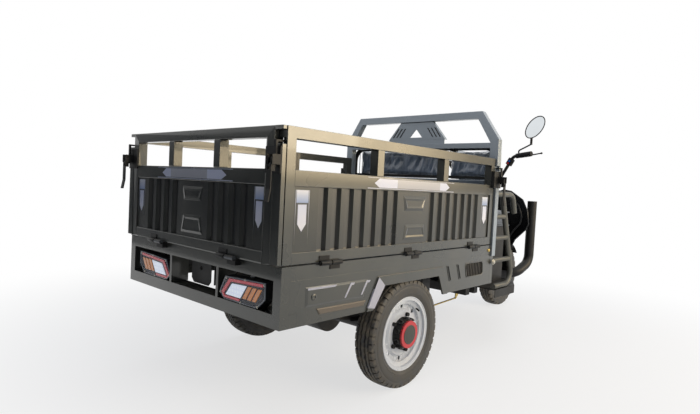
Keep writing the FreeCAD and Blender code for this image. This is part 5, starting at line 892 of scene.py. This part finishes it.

# %% [markdown]
# ## Side skirts
# The skirt under the box is pressed sheet. Behind the wheel it has a shallow tray with a painted highlight of silver
# film along part of its upper edge, a plugged hole, two slanted slashes and a dusty lower strip. A silver stripe leans
# along the wheel arch and a crease runs down ahead of it. Then come two louvres and a window with a rolled edge, which
# show a dark grille before a black sheet that paints the shade behind them. Lines of colour would lie flat when light
# grazes the skirt, so the pressings are plates and the rolled edges are beads.

# %% Skirt behind the wheel
SKIRT_FACE = 550.0
SKIRT_TRAY = ((-1352, 527), (-1010, 524), (-1036, 452), (-1352, 455))
PAINTED_HIGHLIGHT_EDGE = ((-1346, 524), (-1196, 522), (-1206, 515), (-1344, 516))
LOWER_STRIP = ((-1296, 444), (-1022, 440), (-1036, 419), (-1280, 421))
SLASHES = ((-1121, -1154), (-1027, -1059))
PLUG_PROFILE = ((13, -1), (13, 2), (11, 4.5), (6.5, 5.5), (5.5, 3.0), (2, 2.6))
for side, sign in SIDES:
    on_skirt = on_side(sign, SKIRT_FACE)
    steps = [(SKIRT_TRAY, -0.5), (SKIRT_TRAY, 0.4), (shrink(SKIRT_TRAY, 9), 5), (shrink(SKIRT_TRAY, 14), 5)]
    raised_plate(side + "_skirt_tray", steps, on_skirt, body_enamel, "chassis", "body_paint", 1.5)
    # Painted highlight: a strip of silver film along the rear part of the tray's upper lip.
    flat_plate(side + "_skirt_bright_edge", PAINTED_HIGHLIGHT_EDGE, (3, 5.6), on_skirt, slash_silver, "chassis", "rim_steel", 0.8)
    steps = [(LOWER_STRIP, -0.5), (LOWER_STRIP, 2), (shrink(LOWER_STRIP, 3), 4)]
    raised_plate(side + "_skirt_lower_strip", steps, on_skirt, skirt_strip, "chassis", "body_paint", 0.8)
    for number, (top, foot) in enumerate(SLASHES):
        slash = ((top, 521), (top + 24, 519), (top + 18, 511), (top + 6, 511), (foot + 9, 466), (foot, 466))
        flat_plate("%s_skirt_slash_%d" % (side, number), slash, (3, 6.4), on_skirt, slash_silver, "chassis",
                   "rim_steel", 1.2)
    lathe(side + "_skirt_plug", PLUG_PROFILE, on_skirt(-1315, 490, 4), (0, sign, 0), body_enamel, "chassis",
          "body_paint", 32)
print("skirts pressed behind the wheels")

# %% Wheel arch
ARCH_STRIPE = ((-949, 525), (-908, 487), (-970, 399), (-1012, 406))
ARCH_LIP = ((-930, 524), (-468, 521), (-484, 489), (-900, 489))
CREASE = ((-463, 521, 1), (-440, 470, 2), (-407, 397, 1))
for side, sign in SIDES:
    on_skirt = on_side(sign, SKIRT_FACE)
    flat_plate(side + "_arch_stripe", ARCH_STRIPE, (0.0, 7.6), on_skirt, slash_silver, "chassis", "rim_steel", 0.5)
    steps = [(ARCH_LIP, -0.5), (ARCH_LIP, 0.5), (shrink(ARCH_LIP, 7), 6), (shrink(ARCH_LIP, 9), 6)]
    raised_plate(side + "_arch_lip", steps, on_skirt, body_enamel, "chassis", "body_paint", 1.5)
    bead(side + "_skirt_crease", [on_skirt(*spot) for spot in CREASE], 3.2, body_enamel, "chassis")
print("arches lipped")

# %% Cut corners and fields of plates
def cut_corners(outline, cut):
    """Outline with each corner cut off, so that a bead can run round it."""
    points = []
    for i, corner in enumerate(outline):
        for other in (outline[i - 1], outline[(i + 1) % len(outline)]):
            step = Vector(other) - Vector(corner)
            points.append(tuple(Vector(corner) + step * cut / step.length))
    return points


def join_stacks(stacks):
    """Points and faces of several stacks of rings in one mesh."""
    points, faces = [], []
    for rings in stacks:
        more, sides = stack_rings(rings)
        faces += [tuple(i + len(points) for i in face) for face in sides]
        points += more
    return points, faces


def plate_field(name, outlines, heights, to_space, material, body, slot):
    """Many small plates in one piece, all with the same two heights."""
    stacks = [[[Vector(to_space(a, b, height)) / 1000 for a, b in outline] for height in heights]
              for outline in outlines]
    return face_out(add_piece(name, *join_stacks(stacks), material, body, slot))


print("a square with cut corners has", len(cut_corners(oblong(0, 10, 0, 10), 2)), "points")

# %% Window, louvres and grille
WINDOW = ((-225.5, 452), (-49.5, 452), (-56.5, 524), (-239.5, 524))
LOUVRES = (-415.5, -321.4)
BAR_WIDE, BAR_PITCH = 7, 17
MARKER_PROFILE = ((9, -1), (9, 3), (8, 5), (3, 6))
bars = [oblong(a, a + BAR_WIDE, 446, 527) for a in range(-236, -50, BAR_PITCH)]
for side, sign in SIDES:
    on_skirt = on_side(sign, SKIRT_FACE)
    edge = [on_skirt(a, b, 0.5) for a, b in cut_corners(WINDOW, 11)]
    bead(side + "_window_edge", edge, 2.6, body_enamel, "chassis", closed=True)
    for number, top in enumerate(LOUVRES):
        ridge = [on_skirt(top - 2, 526, 0), on_skirt(top + 28, 450, 0)]
        bead("%s_louvre_%d" % (side, number), ridge, 3.4, body_enamel, "chassis")
    # Painted shade: a black sheet behind the louvres and the window stands in for the darkness behind them.
    flat_plate(side + "_skirt_painted_shade_back", oblong(-434, -38, 444, 528), (-9, -5.5), on_skirt, chassis_black, "chassis",
               "black_metal", 0.5)
    plate_field(side + "_skirt_grille", bars, (-6, -2.2), on_skirt, chassis_black, "chassis", "black_metal")
    lathe(side + "_side_marker", MARKER_PROFILE, on_skirt(6, 578, 0), (0, sign, 0), yellow_zinc, "chassis",
          "bright_steel", 24)
print("grille bars on each side:", len(bars))

# %% [markdown]
# ## Rear lamps
# Each rear lamp is a dark six-sided case. Inside lie a red band shaped like a bracket, a bright block of reflector
# prisms and three slanted amber bars, and a clear cover closes it with a row of screws. Real lights are moulded in
# coloured acrylic. They are solids already, so their faces get the plastics, and a slight glow stands in for the light
# that real prisms send back. The cover, the foot of the red band and the screws are new.

# %% Lamp plastics
def lamp_plastic(name, colour, prism_mm, depth, **sockets):
    """Coloured lens plastic with rows of prisms behind its face; each prism is painted darker towards its edge as
    painted facet shade, and the plastic glows in the same tones as painted light; real prisms are about 3 mm, drawn
    coarser to show.
    """
    material, tree, shader = new_material(name, Roughness=0.12, Coat_Weight=0.6, **sockets)
    place = add_node(tree, "TexCoord")
    prisms = add_node(tree, "TexVoronoi", [("Vector", place.outputs["Object"])],
                      [("Scale", per_metre(prism_mm)), ("Randomness", 0.0)], distance="CHEBYCHEV")
    shade = [c * 0.55 for c in linear(colour)[:3]] + [1.0]
    tone = add_node(tree, "Mix", [(0, prisms.outputs["Distance"])], [(6, linear(colour)), (7, shade)],
                    data_type="RGBA")
    tree.links.new(tone.outputs[2], shader.inputs["Base Color"])
    tree.links.new(tone.outputs[2], shader.inputs["Emission Color"])
    bump = add_node(tree, "Bump", [("Height", prisms.outputs["Distance"])], [("Strength", depth), ("Distance", 0.003)])
    tree.links.new(bump.outputs["Normal"], shader.inputs["Normal"])
    return material


# Tail and brake light: a deep clear red.
red_lens = lamp_plastic("red_lamp_acrylic", "#d8283c", 9, 0.3, Emission_Strength=0.3)
# Block of reflector prisms: blue-white and facetted, and the brightest spot on the tail through its stronger painted
# glow.
white_lens = lamp_plastic("white_reflector_prisms", "#e3ecfa", 16, 0.5, Emission_Strength=0.7)
# Turn signal: warm orange bars.
amber_lens = lamp_plastic("amber_lamp_acrylic", "#e88a2c", 8, 0.3, Emission_Strength=0.3)
# Clear acrylic seen face on: only its gloss shows.
clear_cover = plain_finish("clear_lamp_cover", "#cfd6dd", 0.05, 80.0, 0.02, Alpha=0.12, Coat_Weight=1.0)
# The same acrylic seen along its edge: an opaque grey line, a painted highlight along the clear rim.
cover_edge = plain_finish("acrylic_edge_painted_highlight", "#7d858c", 0.2, 30.0, 0.03, Coat_Weight=0.6)
print("lamp plastics:", red_lens.name, white_lens.name, amber_lens.name)

# %% Lights
CASE_FACE, LIGHT_FACE = 1457.5, 1457.6
BAND_FOOT, BRACKET_END, BARS_START, LEAN_FOOT, LEAN_RATE = 511.5, 224, 323, 460, 0.74


def light_of(p):
    """Plastic of the light at a point of the lamps; the lights lean outwards, and that lean is taken out first."""
    if p.x >= -LIGHT_FACE:
        return None
    along = abs(p.y) - (p.z - LEAN_FOOT) * LEAN_RATE
    if along < BRACKET_END or p.z > BAND_FOOT:
        return red_lens
    return white_lens if along < BARS_START else amber_lens


for lens in (red_lens, white_lens, amber_lens):
    finish_faces("tail_lamps", lens, lambda p, n: light_of(p) == lens)

# %% Lamp covers and screws
COVER_RISE = 9.0
LAMP_OUTLINE = ((222, 530), (464, 540), (464, 478), (421, 440), (216, 440), (188, 464))
RED_FOOT = ((200, 465.5), (214, 462), (221, 456), (316, 456), (312, 447.5), (217, 447.5))
SCREWS = ((230, 523), (345, 531), (455, 530), (421, 447), (322, 443.5), (194, 464))
# Washer and hexagon: reach as a share of the head's radius, and height as a share of its height.
HEAD_RINGS, HEAD_STEPS, FLAT_REACH = ((1.5, 0.0), (1.5, 0.2), (1.02, 0.25), (0.98, 0.85), (0.8, 1.0)), 12, 0.87


def bolt_heads(name, places, axis, radius_mm, height_mm, material, body, slot):
    """Hexagon heads on washers, all in one piece; axis is where the heads point."""
    turn = Vector(axis).to_track_quat("Z", "Y").to_matrix()
    stacks = []
    for place in places:
        rings = []
        for reach, height in HEAD_RINGS:
            ring = []
            for i in range(HEAD_STEPS):
                angle = math.tau * i / HEAD_STEPS
                corner = 1.0 if reach > 1.4 or i % 2 == 0 else FLAT_REACH
                spot = Vector((math.cos(angle) * reach * radius_mm * corner,
                               math.sin(angle) * reach * radius_mm * corner, height * height_mm))
                ring.append((Vector(place) + turn @ spot) / 1000)
            rings.append(ring)
        stacks.append(rings)
    return add_piece(name, *join_stacks(stacks), material, body, slot)


on_case = on_tail(CASE_FACE)
for side, sign in SIDES:
    outline, foot, screws = ([(sign * a, b) for a, b in line] for line in (LAMP_OUTLINE, RED_FOOT, SCREWS))
    steps = [(shrink(outline, 2), 0.2), (shrink(outline, 3), COVER_RISE - 3), (shrink(outline, 8), COVER_RISE)]
    raised_plate(side + "_lamp_cover", steps, on_case, clear_cover, "chassis", "lamp_plastic", 2.0)
    rim = [on_case(a, b, 1.5) for a, b in shrink(outline, 3)]
    bead(side + "_lamp_rim", rim, 3.2, cover_edge, "chassis", closed=True)
    flat_plate(side + "_lamp_red_foot", foot, (-0.2, 3.0), on_case, red_lens, "chassis", "lamp_plastic", 0.6)
    bolt_heads(side + "_lamp_screws", [on_case(a, b, 2) for a, b in screws], (-1, 0, 0), 3.6, 3.0, zinc, "chassis",
               "bright_steel")
print("lamps closed with", len(SCREWS), "screws each")

# %% [markdown]
# ## Vinyl pads and seat cushion
# The backrest has two stuffed pads and the driver sits on a thick cushion, all in blue-black coated vinyl. The pads
# are painted paler than the cushion, as painted sky light. Foam swells a cover, and a bevelled box would look like a
# block of wood. So each one starts as a slightly smaller copy of the solid, is cut into an even skin, and is blown up
# by a cloth simulation. The covers are loose, so folds are pushed into the skin afterwards, and a piping closes the
# seams.

# %% Vinyl
PEBBLE_MM, CREASE_MM = 2.2, 30  # the pebble of real vinyl is about 0.6 mm; drawn coarser so that it shows


def creased_vinyl(name, dark, light, coat):
    material, tree, shader = new_material(name, Coat_Weight=coat, Coat_Roughness=0.12)
    place = add_node(tree, "TexCoord")
    pebble = add_node(tree, "TexVoronoi", [("Vector", place.outputs["Object"])], [("Scale", per_metre(PEBBLE_MM))])
    stretch = add_node(tree, "Mapping", [("Vector", place.outputs["Object"])],
                       [("Rotation", (0.35, 0, 0)), ("Scale", (1.0, 1.0, 0.22))])
    crease = add_node(tree, "TexNoise", [("Vector", stretch.outputs[0])],
                      [("Scale", per_metre(CREASE_MM)), ("Detail", 5.0), ("Roughness", 0.6)])
    sharp = add_node(tree, "MapRange", [("Value", crease.outputs["Fac"])], [("From Min", 0.32), ("From Max", 0.68)])
    # The creases are painted lighter than the vinyl between them: painted highlights along the folds.
    tone = add_node(tree, "Mix", [(0, sharp.outputs[0])], [(6, linear(dark)), (7, linear(light))], data_type="RGBA")
    tree.links.new(tone.outputs[2], shader.inputs["Base Color"])
    rough = add_node(tree, "MapRange", [("Value", pebble.outputs["Distance"])], [("To Min", 0.26), ("To Max", 0.4)])
    tree.links.new(rough.outputs[0], shader.inputs["Roughness"])
    folds = add_node(tree, "Bump", [("Height", crease.outputs["Fac"])], [("Strength", 0.55), ("Distance", 0.012)])
    grain = add_node(tree, "Bump", [("Height", pebble.outputs["Distance"]), ("Normal", folds.outputs["Normal"])],
                     [("Strength", 0.12), ("Distance", 0.0006)])
    tree.links.new(grain.outputs["Normal"], shader.inputs["Normal"])
    return material


# The same vinyl as the seat, painted paler as painted sky light, with pale creases and sharp glints over blue-grey.
pad_vinyl = creased_vinyl("pad_vinyl_painted_sky_light", "#66737f", "#aebac6", 1.0)
# Bare coated vinyl: dark, with a soft sheen and painted highlights along its creases.
seat_vinyl = creased_vinyl("coated_seat_vinyl", "#262d35", "#454f5a", 0.3)
print("vinyl ready:", pad_vinyl.name, seat_vinyl.name)

# %% Skin of a solid
def copy_faces(name, node_name, keep, slim_mm=(0, 0, 0)):
    """New object from the faces of a solid whose centre passes the test, made slimmer on every side."""
    work = bmesh.new()
    work.from_mesh(nodes[node_name].data)
    bmesh.ops.remove_doubles(work, verts=work.verts, dist=WELD_MM / 1000)
    others = [f for f in work.faces if not keep(f.calc_center_median() * 1000)]
    bmesh.ops.delete(work, geom=others, context="FACES")
    low = [min(v.co[i] for v in work.verts) for i in range(3)]
    high = [max(v.co[i] for v in work.verts) for i in range(3)]
    for v in work.verts:
        for i in range(3):
            middle, half = (low[i] + high[i]) / 2, (high[i] - low[i]) / 2
            v.co[i] = middle + (v.co[i] - middle) * (half - slim_mm[i] / 1000) / half
    mesh = bpy.data.meshes.new(name)
    work.to_mesh(mesh)
    work.free()
    piece = bpy.data.objects.new(name, mesh)
    bpy.context.collection.objects.link(piece)
    return piece, Vector(low), Vector(high)


def fix_mesh(piece):
    """Replaces a piece's mesh by what its modifiers make of it, and takes the modifiers away."""
    graph = bpy.context.evaluated_depsgraph_get()
    mesh = bpy.data.meshes.new_from_object(piece.evaluated_get(graph))
    piece.modifiers.clear()
    piece.data = mesh


def even_skin(piece, voxel_mm):
    """Cuts a piece anew into small faces of one size, which a simulation needs."""
    remesh = piece.modifiers.new("even_skin", "REMESH")
    remesh.mode = "VOXEL"
    remesh.voxel_size = voxel_mm / 1000
    remesh.use_smooth_shade = True
    fix_mesh(piece)


print("skin helpers ready")

# %% Swelling and folds
PRESSURE, FRAMES = 4, 20


def blow_up(piece):
    """Swells a piece as cloth with pressure inside."""
    cloth = piece.modifiers.new("cloth", "CLOTH")
    cloth.settings.use_pressure = True
    cloth.settings.uniform_pressure_force = PRESSURE
    cloth.settings.effector_weights.gravity = 0
    for step in range(1, FRAMES + 1):
        bpy.context.scene.frame_set(step)
    fix_mesh(piece)
    bpy.context.scene.frame_set(1)


def fold_depth(p):
    """Folds at a point: long lines, a finer fan across them, and a soft swing."""
    line = noise.noise(Vector((p.x * 2, p.y * 21 + p.z * 6, p.z * 1.5)))
    fan = noise.noise(Vector((p.x * 3 + 7, p.y * 33 + p.z * 13, p.z * 2.5)))
    return max(0.0, 1 - 3.5 * abs(line)) + 0.6 * max(0.0, 1 - 4 * abs(fan)) + 0.5 * (1 + fan)


print("fold at the origin:", round(fold_depth(Vector((0, 0, 0))), 2))

# %% Stuffing by cloth simulation
SWELL_MM, BULGE_MM = 13, 3


def stuff(name, node_name, keep, slim_mm, voxel_mm, fold_mm, vinyl, body):
    """Stuffed cover in place of a solid, which stays within a few millimetres of it."""
    piece, low, high = copy_faces(name, node_name, keep, slim_mm)
    even_skin(piece, voxel_mm)
    start = [v.co.copy() for v in piece.data.vertices]
    blow_up(piece)
    thin = slim_mm.index(max(slim_mm))
    normals = [v.normal.copy() for v in piece.data.vertices]
    for v, old, normal in zip(piece.data.vertices, start, normals):
        step = v.co - old
        if step.length > SWELL_MM / 1000:
            step *= SWELL_MM / 1000 / step.length
        p = old + step
        p -= normal * abs(normal[thin]) * fold_depth(p) * fold_mm / 1000
        for i in range(3):
            p[i] = min(max(p[i], low[i] - BULGE_MM / 1000), high[i] + BULGE_MM / 1000)
        v.co = p
    piece.data.materials.clear()
    piece.data.materials.append(vinyl)
    piece.data.shade_smooth()
    smooth = piece.modifiers.new("smooth_skin", "SUBSURF")
    smooth.levels = smooth.render_levels = 1
    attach(piece, body)
    print(name, len(piece.data.vertices), "points, in place of", [round(s * 1000) for s in high - low], "mm")
    return piece


print("covers may bulge by", BULGE_MM, "mm")

# %% Pads and cushion
PAD_SPLIT_Y, CUSHION_FOOT = -172, 687.9
HINGE_LEAF_Y, HINGE_LEAF_X, HINGE_LEAF_TOP = 280, (500, 525), 689


def near_hinge(p, reach):
    """Whether a point of the cushion belongs to one of its two hinge leaves."""
    back, front = HINGE_LEAF_X
    return abs(abs(p.y) - HINGE_LEAF_Y) < reach and back < p.x < front and p.z < HINGE_LEAF_TOP


wide_pad = stuff("wide_back_pad", "backrest_pads", lambda p: p.y > PAD_SPLIT_Y, slim_mm=(6, 0, 0), voxel_mm=6,
                 fold_mm=6, vinyl=pad_vinyl, body="chassis")
narrow_pad = stuff("narrow_back_pad", "backrest_pads", lambda p: p.y < PAD_SPLIT_Y, slim_mm=(6, 0, 0), voxel_mm=6,
                   fold_mm=6, vinyl=pad_vinyl, body="chassis")
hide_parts("backrest_pads")
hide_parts("backrest_pads")
cushion = stuff("vinyl_seat_cushion", "seat_cushion", lambda p: p.z > CUSHION_FOOT and not near_hinge(p, 40),
                slim_mm=(2, 2, 6), voxel_mm=8, fold_mm=3, vinyl=seat_vinyl, body="seat_cushion")
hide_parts("seat_cushion")

# %% Piping and hinge leaves
CORNER_STEP, CORNER_POINTS = 15, 7
PAD_LOW, PAD_HIGH, PAD_CORNER, PAD_SEAMS = 968, 1142, 27, (111, 166)
SEAT_BACK, SEAT_FRONT, SEAT_HALF, SEAT_CORNER = 122, 537, 432, 50
SEAT_SEAMS = ((694, 0), (776, 3))  # height, and how far the seam draws in


def rounded(left, right_edge, low, high, corner):
    """Points of a rectangle with round corners."""
    points = []
    for x, y, start in ((right_edge - corner, high - corner, 0), (left + corner, high - corner, 90),
                        (left + corner, low + corner, 180), (right_edge - corner, low + corner, 270)):
        angles = [math.radians(start + CORNER_STEP * i) for i in range(CORNER_POINTS)]
        points += [(x + corner * math.cos(angle), y + corner * math.sin(angle)) for angle in angles]
    return points


for name, left, right_edge in (("wide", -140, 510), ("narrow", -510, -205)):
    for number, x in enumerate(PAD_SEAMS):
        seam = [(x, a, b) for a, b in rounded(left, right_edge, PAD_LOW, PAD_HIGH, PAD_CORNER)]
        bead("%s_pad_piping_%d" % (name, number), seam, 2.6, pad_vinyl, "chassis", closed=True)
for number, (z, draw) in enumerate(SEAT_SEAMS):
    line = rounded(SEAT_BACK + draw, SEAT_FRONT - draw, draw - SEAT_HALF, SEAT_HALF - draw, SEAT_CORNER)
    bead("seat_piping_%d" % number, [(a, b, z) for a, b in line], 3.0, seat_vinyl, "seat_cushion",
         closed=True)
leaves = copy_faces("seat_hinge_leaves", "seat_cushion", lambda p: near_hinge(p, 31))[0]
leaves.data.materials.append(black_powder)
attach(leaves, "seat_cushion")
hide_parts("seat_cushion")
print("seams closed")

# %% [markdown]
# ## Leaf springs
# The axle moves up and down under the load while the spring eyes stay on the frame, so a real stack of spring steel
# bends. A rigid stack would run into the axle. Here each half of it is only copied from the solid, as a rigid piece in
# chassis black.

# %% Spring halves
for half, forward_half in (("front", True), ("rear", False)):
    leaf, low, high = copy_faces(half + "_spring_leaves", "leaf_springs", lambda p: (p.x > AXLE_X) == forward_half)
    leaf.data.materials.clear()
    leaf.data.materials.append(chassis_black)
    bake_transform(leaf)
    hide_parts("leaf_springs")
    print(leaf.name, len(leaf.data.polygons), "faces")

# %% [markdown]
# ## Head guard and steps
# The plate of the head guard has slanted slots with darkness behind them and a doubled lower edge, and a bright bolt
# holds each step to the box. Slots could be a dark print, but then they would catch the light, so a black strip closes
# each one from behind as painted shade.

# %% Guard slots and bolts
GUARD_FACE, SLOT_START, SLOT_PITCH = 42.5, 78, 26
BOLT_PROFILE = ((15, -1), (15, 3), (11, 4), (10.5, 9), (8.5, 10.5), (2, 10.8))


def on_guard(a, b, h):
    return (GUARD_FACE + h, a, b)


for side, sign in SIDES:
    for number in range(3):
        head = SLOT_START + SLOT_PITCH * number
        strip = ((head + 39, 1210), (head + 50, 1210), (head + 10, 1268), (head - 1, 1268))
        flat_plate("%s_guard_slot_back_%d" % (side, number), [(sign * a, b) for a, b in strip], (2.0, 4.6), on_guard,
                   chassis_black, "chassis", "black_metal", 0.2)
    lathe(side + "_step_bolt", BOLT_PROFILE, (47, sign * 560, 512), (0, sign, 0), zinc, "chassis", "bright_steel", 24)
flat_plate("guard_plate_foot", oblong(-206, 206, 1196, 1168), (0.2, 3.8), on_guard, guard_enamel, "chassis",
           "body_paint", 0.8)
print("guard slots backed")

# %% [markdown]
# ## Mirrors and grips
# A mirror's glass sits in a moulded rim, its stem in a rubber boot, and the grips are sleeves with rings for the hands.
# Rings in the bump would vanish in the outline, so the sleeves are spun from a ribbed profile.

# %% Mirrors and grips
MIRROR_STEPS, MIRROR_LONG, MIRROR_SHORT, MIRROR_LEAN = 72, 83, 51, math.radians(38)
MIRROR_X, MIRROR_Y, MIRROR_Z = 822.0, 424, 1352
BOOT_X, BOOT_Y, BOOT_LINE = 852.5, 392, (1236, 1240, 1262, 1290, 1296)
GRIP_PLACE, GRIP_AXIS = (832.5, 329.7, 1162.4), (-25, 134, 16)
VALLEY, CREST, RIB_PITCH, GRIP_RIBS = 17.2, 17.9, 7, 12
RIB = ((CREST, 0.6), (CREST, 4.2), (VALLEY, 5), (VALLEY, 6.8))
grip_profile = [(VALLEY, 0)]
for number in range(GRIP_RIBS):
    grip_profile += [(radius, RIB_PITCH * number + along) for radius, along in RIB]
for side, sign in SIDES:
    rim = []
    for i in range(MIRROR_STEPS):
        angle = math.tau * i / MIRROR_STEPS
        a, b = MIRROR_LONG * math.cos(angle), MIRROR_SHORT * math.sin(angle)
        out = MIRROR_Y + a * math.sin(MIRROR_LEAN) - b * math.cos(MIRROR_LEAN)
        rim.append((MIRROR_X, sign * out, MIRROR_Z + a * math.cos(MIRROR_LEAN) + b * math.sin(MIRROR_LEAN)))
    bead(side + "_mirror_rim", rim, 3.4, black_abs, side + "_mirror", closed=True)
    boot = [(BOOT_X, sign * BOOT_Y, z) for z in BOOT_LINE]
    bead(side + "_stem_boot", boot, 8.0, black_moulding, "steering")
    (x, y, z), (along, across, rise) = GRIP_PLACE, GRIP_AXIS
    lathe(side + "_grip_rubber", grip_profile, (x, sign * y, z), (along, sign * across, rise), black_moulding,
          "throttle_grip" if side == "right" else "steering", "black_plastic", 40)
print("mirrors and grips ready")

# %% [markdown]
# ## Head lamp
# The head lamp has a plated ring and a lens that is pressed with upright flutes and a round bull ring. Clear glass with
# a bulb modelled behind it would be truer, but a pressed lens hides what is behind it. So the face gets lens plastic,
# and the flutes stand on it.

# %% Head lamp
LAMP_HEIGHT, LENS_FACE, LENS_RADIUS = 790, 1234.5, 72
LENS_BACK, FLUTE_PITCH, FLUTE_HALF = 1224, 12, 2.5
RING_PROFILE = ((78.2, -22), (81, -18), (81.5, -8), (80, -4), (76, -2), (74.3, -5))
BULL_PROFILE = ((44, -2), (44, 0.6), (41, 1.8), (36, 1.8), (33, 0.6), (33, -2))
# Pressed clear glass, unlit: pale grey and facetted, with a faint painted glow.
fluted_lens = lamp_plastic("clear_fluted_lens", "#b9c3cc", 12, 0.4, Emission_Strength=0.04)
finish_faces("head_lamp", fluted_lens, lambda p, n: p.x > LENS_BACK and n.x > 0.9)
lamp_place = (LENS_FACE, 0, LAMP_HEIGHT)
lathe("head_lamp_ring", RING_PROFILE, lamp_place, (1, 0, 0), zinc, "chassis", "bright_steel")
lathe("head_lamp_bull_ring", BULL_PROFILE, lamp_place, (1, 0, 0), fluted_lens, "chassis", "lamp_plastic")
flutes = []
for y in range(-60, 61, FLUTE_PITCH):
    tall = math.sqrt(LENS_RADIUS ** 2 - y ** 2) - 3
    flutes.append(oblong(y - FLUTE_HALF, y + FLUTE_HALF, -tall, tall))
plate_field("head_lamp_flutes", flutes, (-0.5, 1.0), lambda a, b, h: (LENS_FACE + h, a, LAMP_HEIGHT + b), fluted_lens,
            "chassis", "lamp_plastic")
print("head lamp flutes:", len(flutes))

# %% [markdown]
# ## Leg shield and foot mat
# The leg shield is one large moulding with a rolled edge and a rib on each side, and a rubber mat lies on the
# footboard. The edge and ribs could be part of the moulding's solid. As beads along a line they stay easy to read and
# to change.

# %% Leg shield edge and foot mat
EDGE_X, RIB_X, FOOTBOARD_TOP = 873.5, 872.5, 345
SHIELD_EDGE = ((0, 896), (150, 900), (205, 920), (262, 912), (350, 856), (388, 780), (400, 690), (384, 650), (312, 575),
               (290, 530), (284, 450), (284, 345))
SHIELD_RIB = ((268, 868), (326, 812), (350, 740), (344, 690), (300, 640), (268, 585))
MAT = ((520, -452), (850, -286), (850, 286), (520, 452))
edge = [(EDGE_X, -a, b) for a, b in reversed(SHIELD_EDGE)] + [(EDGE_X, a, b) for a, b in SHIELD_EDGE[1:]]
bead("leg_shield_edge", edge, 4.0, black_abs, "chassis")
for side, sign in SIDES:
    rib = [(RIB_X, sign * a, b) for a, b in SHIELD_RIB]
    bead(side + "_leg_shield_rib", rib, 6.0, black_abs, "chassis")
steps = [(MAT, 0.2), (MAT, 3.0), (shrink(MAT, 6), 4.0), (shrink(MAT, 14), 3.2)]
raised_plate("foot_mat", steps, lambda a, b, h: (a, b, FOOTBOARD_TOP + h), black_moulding, "chassis", "black_plastic",
             0.6)
print("cab details ready")

# %% [markdown]
# ## Tread plate of the box floor
# A load floor of this kind is rolled with small raised lozenges that give grip, each turned a quarter against its
# neighbours. A bump would do from far away, but a low light shows that they stand up. So all of them are one mesh, sunk
# a hair into the floor.

# %% Floor lozenges
LOZENGE = ((-15, 0), (-8, 4), (8, 4), (15, 0), (8, -4), (-8, -4))
LOZENGE_PITCH, LOZENGE_ROWS, LOZENGE_COLUMNS = 44, 32, 22
FLOOR_START, FLOOR_TOP = -1392, 606
lozenges = []
for row in range(LOZENGE_ROWS):
    for column in range(LOZENGE_COLUMNS):
        x, y = FLOOR_START + LOZENGE_PITCH * row, (column - (LOZENGE_COLUMNS - 1) / 2) * LOZENGE_PITCH
        turn = math.radians(45 if (row + column) % 2 else -45)
        lozenges.append([(x + a * math.cos(turn) - b * math.sin(turn), y + a * math.sin(turn) + b * math.cos(turn))
                         for a, b in LOZENGE])
plate_field("floor_tread", lozenges, (-0.2, 1.6), lambda a, b, h: (a, b, FLOOR_TOP + h), body_enamel, "chassis",
            "body_paint")
print("lozenges:", len(lozenges))

# %% [markdown]
# ## Size of the dressed object
# The dressed object has to stay in the box of the solids. We could trust our eyes, but numbers are safer. So the
# size of the dressed object is printed.

# %% Size of the dressed object
low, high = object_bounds()
print("dressed size", [round(v, 3) for v in high - low])
